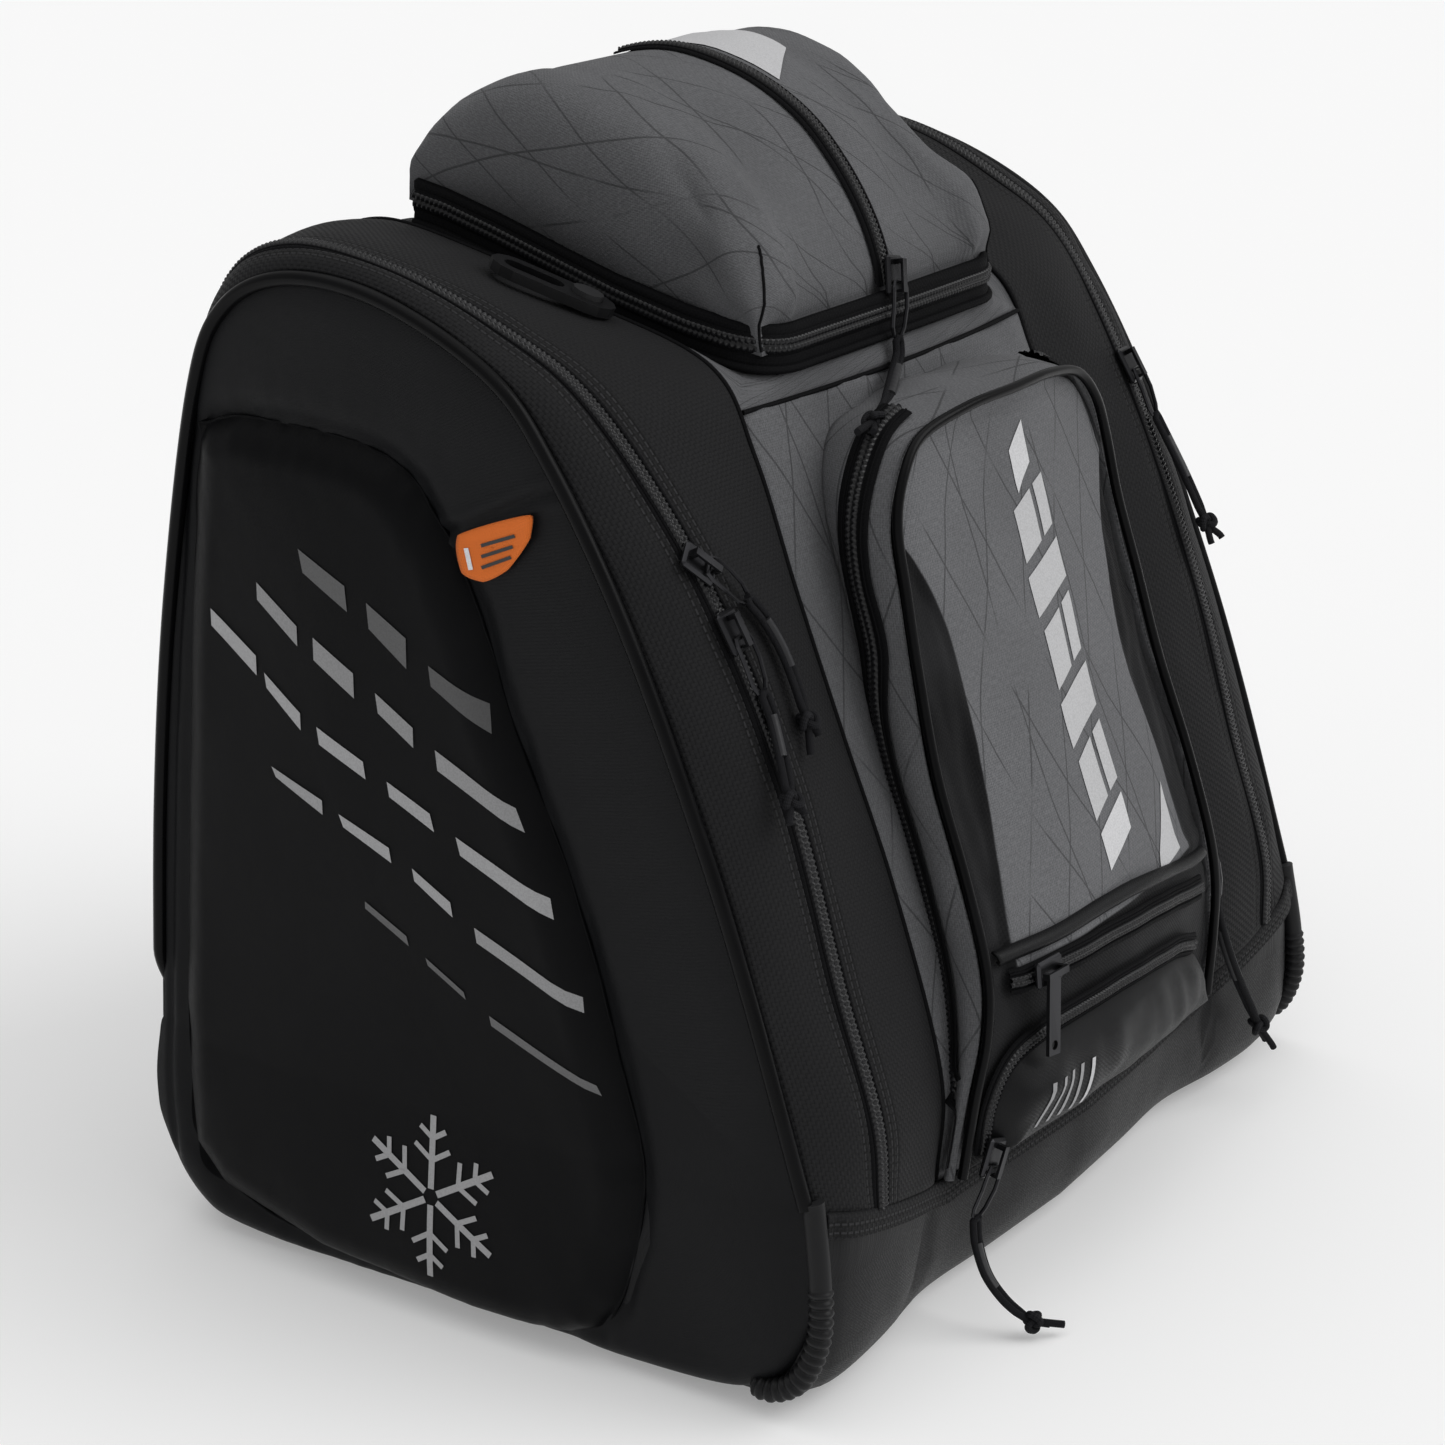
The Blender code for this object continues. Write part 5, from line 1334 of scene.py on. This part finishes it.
def main_zip_frame(side, height, lean):
    e, zips, s = arch_lines(side, 37)
    i = next(k for k in range(36) if zips[k, 2] <= height <= zips[k + 1, 2])
    f = (height - zips[i, 2]) / (zips[i + 1, 2] - zips[i, 2])
    spot = Vector(zips[i] * (1 - f) + zips[i + 1] * f)
    down = Vector(zips[i] - zips[i + 1]).normalized()
    inward = Vector(s[i] - e[i])
    normal = down.cross(inward).normalized()
    if normal.dot(spot - Vector(MIDDLE)) < 0:
        normal = -normal
    inward = (inward - down * inward.dot(down)).normalized()
    turn = math.radians(lean)
    return axes_at(spot, down * math.cos(turn) + inward * math.sin(turn), normal)


FRAMES = {
    "left_upper": main_zip_frame(-1, 0.3150, 36.0),
    "left_lower": main_zip_frame(-1, 0.2905, 2.0),
    "right_main": main_zip_frame(1, 0.3200, -8.0),
    "lid": axes_at((0.0, -0.0742, 0.3890), (-0.22, -0.15, -0.97), (0.0, -0.98, 0.20)),
    "pocket_right": axes_at((0.1040, -0.1745, 0.1280), (0.42, -0.16, -0.90), (0.90, -0.35, 0.25)),
    "lower_pocket": axes_at((-0.0955, -0.1822, 0.0680), (-0.30, 0.06, -0.95),
                            (-0.10, -0.99, -0.10)),
}
CORDS = {
    "left_upper": [(0.0258, 0.0, 0.0036), (0.034, -0.0020, 0.0032), (0.045, -0.0070, 0.0024),
                   (0.056, -0.0150, 0.0012), (0.067, -0.0255, 0.0), (0.074, -0.0340, -0.0010)],
    "left_lower": [(0.0258, 0.0, 0.0036), (0.034, -0.0010, 0.0036), (0.044, -0.0045, 0.0040),
                   (0.054, -0.0088, 0.0044), (0.062, -0.0128, 0.0050), (0.070, -0.0165, 0.0056)],
    "right_main": [(0.0258, 0.0, 0.0036), (0.038, -0.0008, 0.0040), (0.050, -0.0022, 0.0046),
                   (0.062, -0.0040, 0.0050), (0.076, -0.0062, 0.0052), (0.086, -0.0070, 0.0052)],
    "lid": [(0.0258, 0.0, 0.0036), (0.031, -0.0010, 0.0042), (0.038, -0.009, 0.0070),
            (0.045, -0.022, 0.0130), (0.052, -0.037, 0.0200), (0.059, -0.053, 0.0250),
            (0.064, -0.066, 0.0275)],
    "pocket_right": [(0.0258, 0.0, 0.0036), (0.038, 0.0, 0.0044), (0.054, 0.0005, 0.0068),
                     (0.070, 0.0015, 0.0105), (0.088, 0.0026, 0.0156), (0.106, 0.0036, 0.0210),
                     (0.114, 0.0040, 0.0235)],
    "lower_pocket": [(0.0258, 0.0, 0.0036), (0.034, 0.0005, 0.0070), (0.044, 0.0020, 0.0140),
                     (0.051, 0.0055, 0.0220), (0.055, 0.0095, 0.0290), (0.0565, 0.0130, 0.0340),
                     (0.0555, 0.0190, 0.0400)],
}


def knot_shape(centre, along, size):
    """A tight overhand knot round a point."""
    t = np.linspace(0, 2 * math.pi, 73)[:-1]
    k = np.column_stack([np.sin(t) + 2 * np.sin(2 * t), np.cos(t) - 2 * np.cos(2 * t),
                         -1.6 * np.sin(3 * t)])
    z = unit(np.array(along)[None])[0]
    x = unit(np.cross(z, (0.3, 0.9, 0.2))[None])[0]
    y = np.cross(z, x)
    return centre + (k[:, :1] * x + k[:, 1:2] * y + k[:, 2:3] * z * 1.1) * size


def curve_cord(name, pts, radius, mat):
    curve = bpy.data.curves.new(name, "CURVE")
    curve.dimensions = "3D"
    curve.bevel_depth = radius
    curve.bevel_resolution = 3
    curve.use_fill_caps = True
    line = curve.splines.new("POLY")
    line.points.add(len(pts) - 1)
    for k, p in zip(line.points, pts):
        k.co = (*p, 1.0)
    line.use_smooth = True
    made = bpy.data.objects.new(name, curve)
    bpy.context.scene.collection.objects.link(made)
    curve.materials.append(mat)
    return made


def make_pulls():
    for word, f in FRAMES.items():
        body = word + "_pull"
        route = spline(CORDS[word], 46)
        world = np.array([tuple(f @ Vector(p)) for p in route])
        ax = np.array(f.col[1].xyz)
        up = np.array(f.col[2].xyz)
        s = np.r_[0, np.cumsum(np.linalg.norm(np.diff(world, axis=0), axis=1))]
        share = s / s[-1]
        gap = 0.0018 - 0.0009 * smoothstep(share, 0.70, 0.80) + 0.0030 * smoothstep(
            share, 0.86, 1.0)
        lead = np.array(f @ Vector((0.0236, 0, 0.0040)))
        for sign, tag in ((-1, "a"), (1, "b")):
            pts = world + ax * (gap * sign)[:, None]
            if tag == "b":
                pts = pts + up * (0.0022 * smoothstep(share, 0.86, 1.0))[:, None]
            pts = np.vstack([lead + ax * 0.0004 * sign, pts])
            if word == "lower_pocket":
                pts[:, 2] = np.maximum(pts[:, 2], 0.0016)
            strand = curve_cord(word + "_strand_" + tag, pts, CORD_RADIUS, MAT["cord"])
            finish_piece(strand, body, (word + "_cord",))
        mid = world[(share > 0.14) & (share < 0.50)]
        sleeve = rope(word + "_sleeve", resample(mid, 26), 0.0027, MAT["sleeve"], 14, flat=0.72)
        centre = world[np.argmin(np.abs(share - 0.84))]
        along = world[-1] - world[-8]
        knot = rope(word + "_knot", knot_shape(centre, along, 0.00125), 0.00145, MAT["cord"], 10,
                    closed=True)
        if word == "lower_pocket":
            low = min(v.co.z for v in knot.data.vertices)
            if low < 0.0003:
                knot.location.z += 0.0003 - low
        for piece in (sleeve, knot):
            finish_piece(piece, body)


# ---- back, straps, interior ---------------------------------------------------------------


def rounded_rectangle(cx, cz, hx, hz, count):
    """Outline of a rectangle of half sizes hx and hz, with well rounded corners."""
    ang = np.linspace(0, 2 * math.pi, 241)[:-1]
    p = 2 / 9.0
    return evenly_round(np.column_stack([cx + hx * signed_power(np.cos(ang), p),
                                         cz + hz * signed_power(np.sin(ang), p)]), count)


def rounded_block(name, low, high, mat, puff, channels, edge=0.010):
    """Padded block, crowned on its outer face, with sewn channels across it."""
    (x0, y0, z0), (x1, y1, z1) = low, high
    cx, cz = (x0 + x1) / 2, (z0 + z1) / 2
    outline = rounded_rectangle(cx, cz, (x1 - x0) / 2, (z1 - z0) / 2, 400)
    xz = rings(outline, (cx, cz), 90, 1.3)
    d = distance_to(xz, outline)
    rise = (y1 - y0) * (1 - (1 - np.clip(d / edge, 0, 1)) ** 2.2)
    groove = np.zeros(d.shape)
    for kind, value in channels:
        v = xz[..., 1] if kind == "z" else xz[..., 0]
        groove = np.maximum(groove, np.exp(-((v - value) / 0.0032) ** 2))
    y = y0 + rise + puff * (1 - np.exp(-d / 0.03)) - groove * 0.0055 * smoothstep(d, 0.0, 0.012)
    y = y + wob(xz, 0.03, 51.0) * 0.0012 * smoothstep(d, 0.002, 0.02)
    P = np.stack([xz[..., 0], y, xz[..., 1]], -1)
    under = P[-1:].copy()
    under[..., 1] = y0
    P = np.concatenate([P, under], 0)
    made = grid(name, P, mat, wrap=True, outside=(0, 1, 0), cap=True)
    flat_uvs(made)
    return made


def make_back():
    z = spline([(0.156, 0.060), (0.156, 0.170), (0.152, 0.250), (0.141, 0.345), (0.134, 0.370)],
               50)
    x = np.linspace(-0.109, 0.109, 30)
    P = np.stack([np.broadcast_to(x[None], (50, 30)), np.broadcast_to(z[:, :1], (50, 30)),
                  np.broadcast_to(z[:, 1:], (50, 30))], -1)
    panel = grid("back_panel_cloth", P, MAT["ballistic_plain"], outside=(0, 1, 0), thick=HEAVY_THICK)
    finish_piece(panel, "bag", ("back_panel",))
    pad = rounded_block("back_pad_mesh", (-0.140, 0.1600, 0.075), (0.140, 0.1745, 0.352),
                        MAT["mesh"], 0.0015, [("z", 0.130), ("z", 0.185), ("z", 0.240),
                                              ("z", 0.295), ("x", 0.0)])
    finish_piece(pad, "bag", ("back_pad",))
    rim = np.insert(rounded_rectangle(0.0, 0.2135, 0.1405, 0.139, 240), 1, 0.1620, axis=1)
    finish_piece(rope("back_pad_binding", rim, 0.0026, MAT["webbing"], 10, closed=True), "bag")
    for side, word in SIDES:
        make_strap(side, word)
    make_handle()


def make_strap(side, word):
    route = spline([(0.055, 0.1875, 0.347), (0.058, 0.1945, 0.320), (0.064, 0.2020, 0.270),
                    (0.072, 0.2028, 0.215), (0.080, 0.1975, 0.165), (0.087, 0.1900, 0.120),
                    (0.090, 0.1880, 0.098)], 90)
    route = route - np.array([0, 0.0045, 0])
    t = unit(np.gradient(route, axis=0))
    n = turned_out(unit(np.cross(t, (1.0, 0, 0))), np.array([0, 1.0, 0]))
    ang = np.linspace(0, 2 * math.pi, 41)[:-1]
    half = (0.0275 - 0.0075 * np.linspace(0, 1, 90))[:, None]
    ends = np.sqrt(np.clip(1 - (np.abs(np.linspace(-1, 1, 90)) ** 14), 0.02, 1))[:, None]
    w = signed_power(np.cos(ang), 0.45)
    h = signed_power(np.sin(ang), 0.75) * 0.0046
    X = route[:, None] + np.array([1.0, 0, 0]) * (w[None] * half * ends)[..., None]
    P = X + n[:, None] * (h[None] * (0.4 + 0.6 * ends))[..., None]
    P[..., 0] *= side
    strap = grid("shoulder_strap_mesh_" + word, P, MAT["mesh"], wrap=True, outside=(0, 1, 0),
                 cap=True)
    finish_piece(strap, "bag", ("shoulder_strap_" + word,))
    for edge in (-1, 1):
        line = route + np.array([1.0, 0, 0]) * edge * half * ends
        line[:, 0] *= side
        finish_piece(rope("strap_binding_%s_%d" % (word, edge + 1), line, 0.0018, MAT["webbing"],
                          8), "bag")
    web = route + n * 0.0050
    rows = np.stack([web + np.array([1.0, 0, 0]) * o + n * b for o, b in
                     ((-0.0125, 0.0), (-0.0120, 0.0009), (0.0120, 0.0009), (0.0125, 0.0))], 1)
    rows[..., 0] *= side
    finish_piece(grid("strap_webbing_" + word, rows[3:-3], MAT["webbing"], outside=(0, 1, 0)),
                 "bag")
    for z0, z1 in ((0.343, 0.353), (0.090, 0.101)):
        f = 0 if z0 > 0.2 else 1
        x = side * (0.055 if f == 0 else 0.090)
        half_w = 0.029 if f == 0 else 0.020
        tab = np.array([[(x + half_w * a, y, z) for a in np.linspace(-1, 1, 12)]
                        for y, z in ((0.1768, z0), (0.1800, z0 + 0.001), (0.1860, (z0 + z1) / 2),
                                     (0.1800, z1 - 0.001), (0.1768, z1))])
        finish_piece(grid("strap_tab_%s_%d" % (word, f), tab, MAT["webbing"], outside=(0, 1, 0)),
                     "bag")


def make_handle():
    line = spline([(-0.048, 0.356), (-0.041, 0.372), (-0.020, 0.3825), (0.020, 0.3825),
                   (0.041, 0.372), (0.048, 0.356)], 70)
    mid = np.column_stack([line[:, 0], np.full(70, 0.172), line[:, 1]])
    t = unit(np.gradient(mid, axis=0))
    n = turned_out(unit(np.cross(t, (0, 1.0, 0))), mid - np.array((0, 0.172, 0.36)))
    ang = np.linspace(0, 2 * math.pi, 31)[:-1]
    grip = smoothstep(1 - np.abs(np.linspace(-1, 1, 70)), 0.25, 0.5)[:, None]
    w = signed_power(np.cos(ang), 0.5) * 0.0118
    h = np.sin(ang)[None] * (0.0012 + 0.0014 * grip)
    P = (mid - n * 0.0016)[:, None] + np.array([0, 1.0, 0]) * w[None, :, None] + n[:, None] * (
        h[..., None])
    handle = grid("haul_handle_web", P, MAT["webbing"], wrap=True, outside=(0, 0, 1), cap=True)
    finish_piece(handle, "bag", ("haul_handle",))
    for sx in (-1, 1):
        finish_piece(handle_tab("handle_tab_%d" % (sx + 1), sx), "bag")


def handle_tab(name, sx):
    """Webbing tab that sews one end of the handle to the back."""
    x = np.linspace(sx * 0.048 - 0.010, sx * 0.048 + 0.010, 8)
    rows = []
    for y, z in ((0.1350, 0.3660), (0.1450, 0.3655), (0.1600, 0.3610), (0.1780, 0.3575),
                 (0.1800, 0.3555), (0.1600, 0.3575), (0.1450, 0.3620), (0.1350, 0.3630)):
        rows.append([(a, y, z) for a in x])
    return grid(name, np.array(rows), MAT["webbing"], outside=(0, 0, 1))


def make_inside():
    line = spline([(-0.158, 0.012), (-0.159, 0.100), (-0.135, 0.181), (-0.111, 0.237),
                   (-0.090, 0.290), (-0.071, 0.338), (-0.054, 0.360), (0.000, 0.376),
                   (0.050, 0.389), (0.095, 0.396), (0.116, 0.382), (0.130, 0.345),
                   (0.140, 0.250), (0.142, 0.012)], 240)
    outline = evenly_round(np.vstack([line, [(0.0, 0.012)]]), 320)
    yz = rings(outline, (0.0, 0.19), 60)
    d = distance_to(yz, outline)
    q = np.abs(np.sin((yz[..., 0] + yz[..., 1]) * math.pi / 0.055)) * np.abs(
        np.sin((yz[..., 0] - yz[..., 1]) * math.pi / 0.055))
    puff = 0.0012 * q ** 0.5 * smoothstep(d, 0.004, 0.02)
    for side, word in SIDES:
        for face, tag in ((1, "outer"), (-1, "inner")):
            x = side * (0.1020 + face * (0.0005 + puff * (0.9 if face < 0 else 0.7)))
            wall = grid("divider_%s_%s" % (tag, word), with_x(yz, x), MAT["lining"], wrap=True,
                        outside=(side * face, 0, 0))
            finish_piece(wall, "bag", ("divider_" + word,))
        set_material(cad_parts["heater_mat_" + word], MAT["heater"])
    set_material(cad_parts["cable_port"], MAT["plastic"])
    set_material(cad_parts["cable_plug"], MAT["rubber"])
    for name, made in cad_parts.items():
        if name.endswith(("_slider", "_ring", "_tab")):
            set_material(made, MAT["metal"])


def main():
    make_camera()
    make_studio()
    make_pulls()
    for side, word in SIDES:
        pad, cloth_piece = make_side_cloth(side, word)
        make_side_prints(side, word, pad, cloth_piece)
        make_piping(side, word)
        make_guard(side, word)
        make_gussets(side, word)
    make_base()
    make_front_panel()
    make_collar()
    dome = make_lid()
    make_lid_zip()
    face = make_pocket()
    lower = make_lower_pocket()
    make_front_prints(face, lower, dome)
    make_back()
    make_inside()


main()
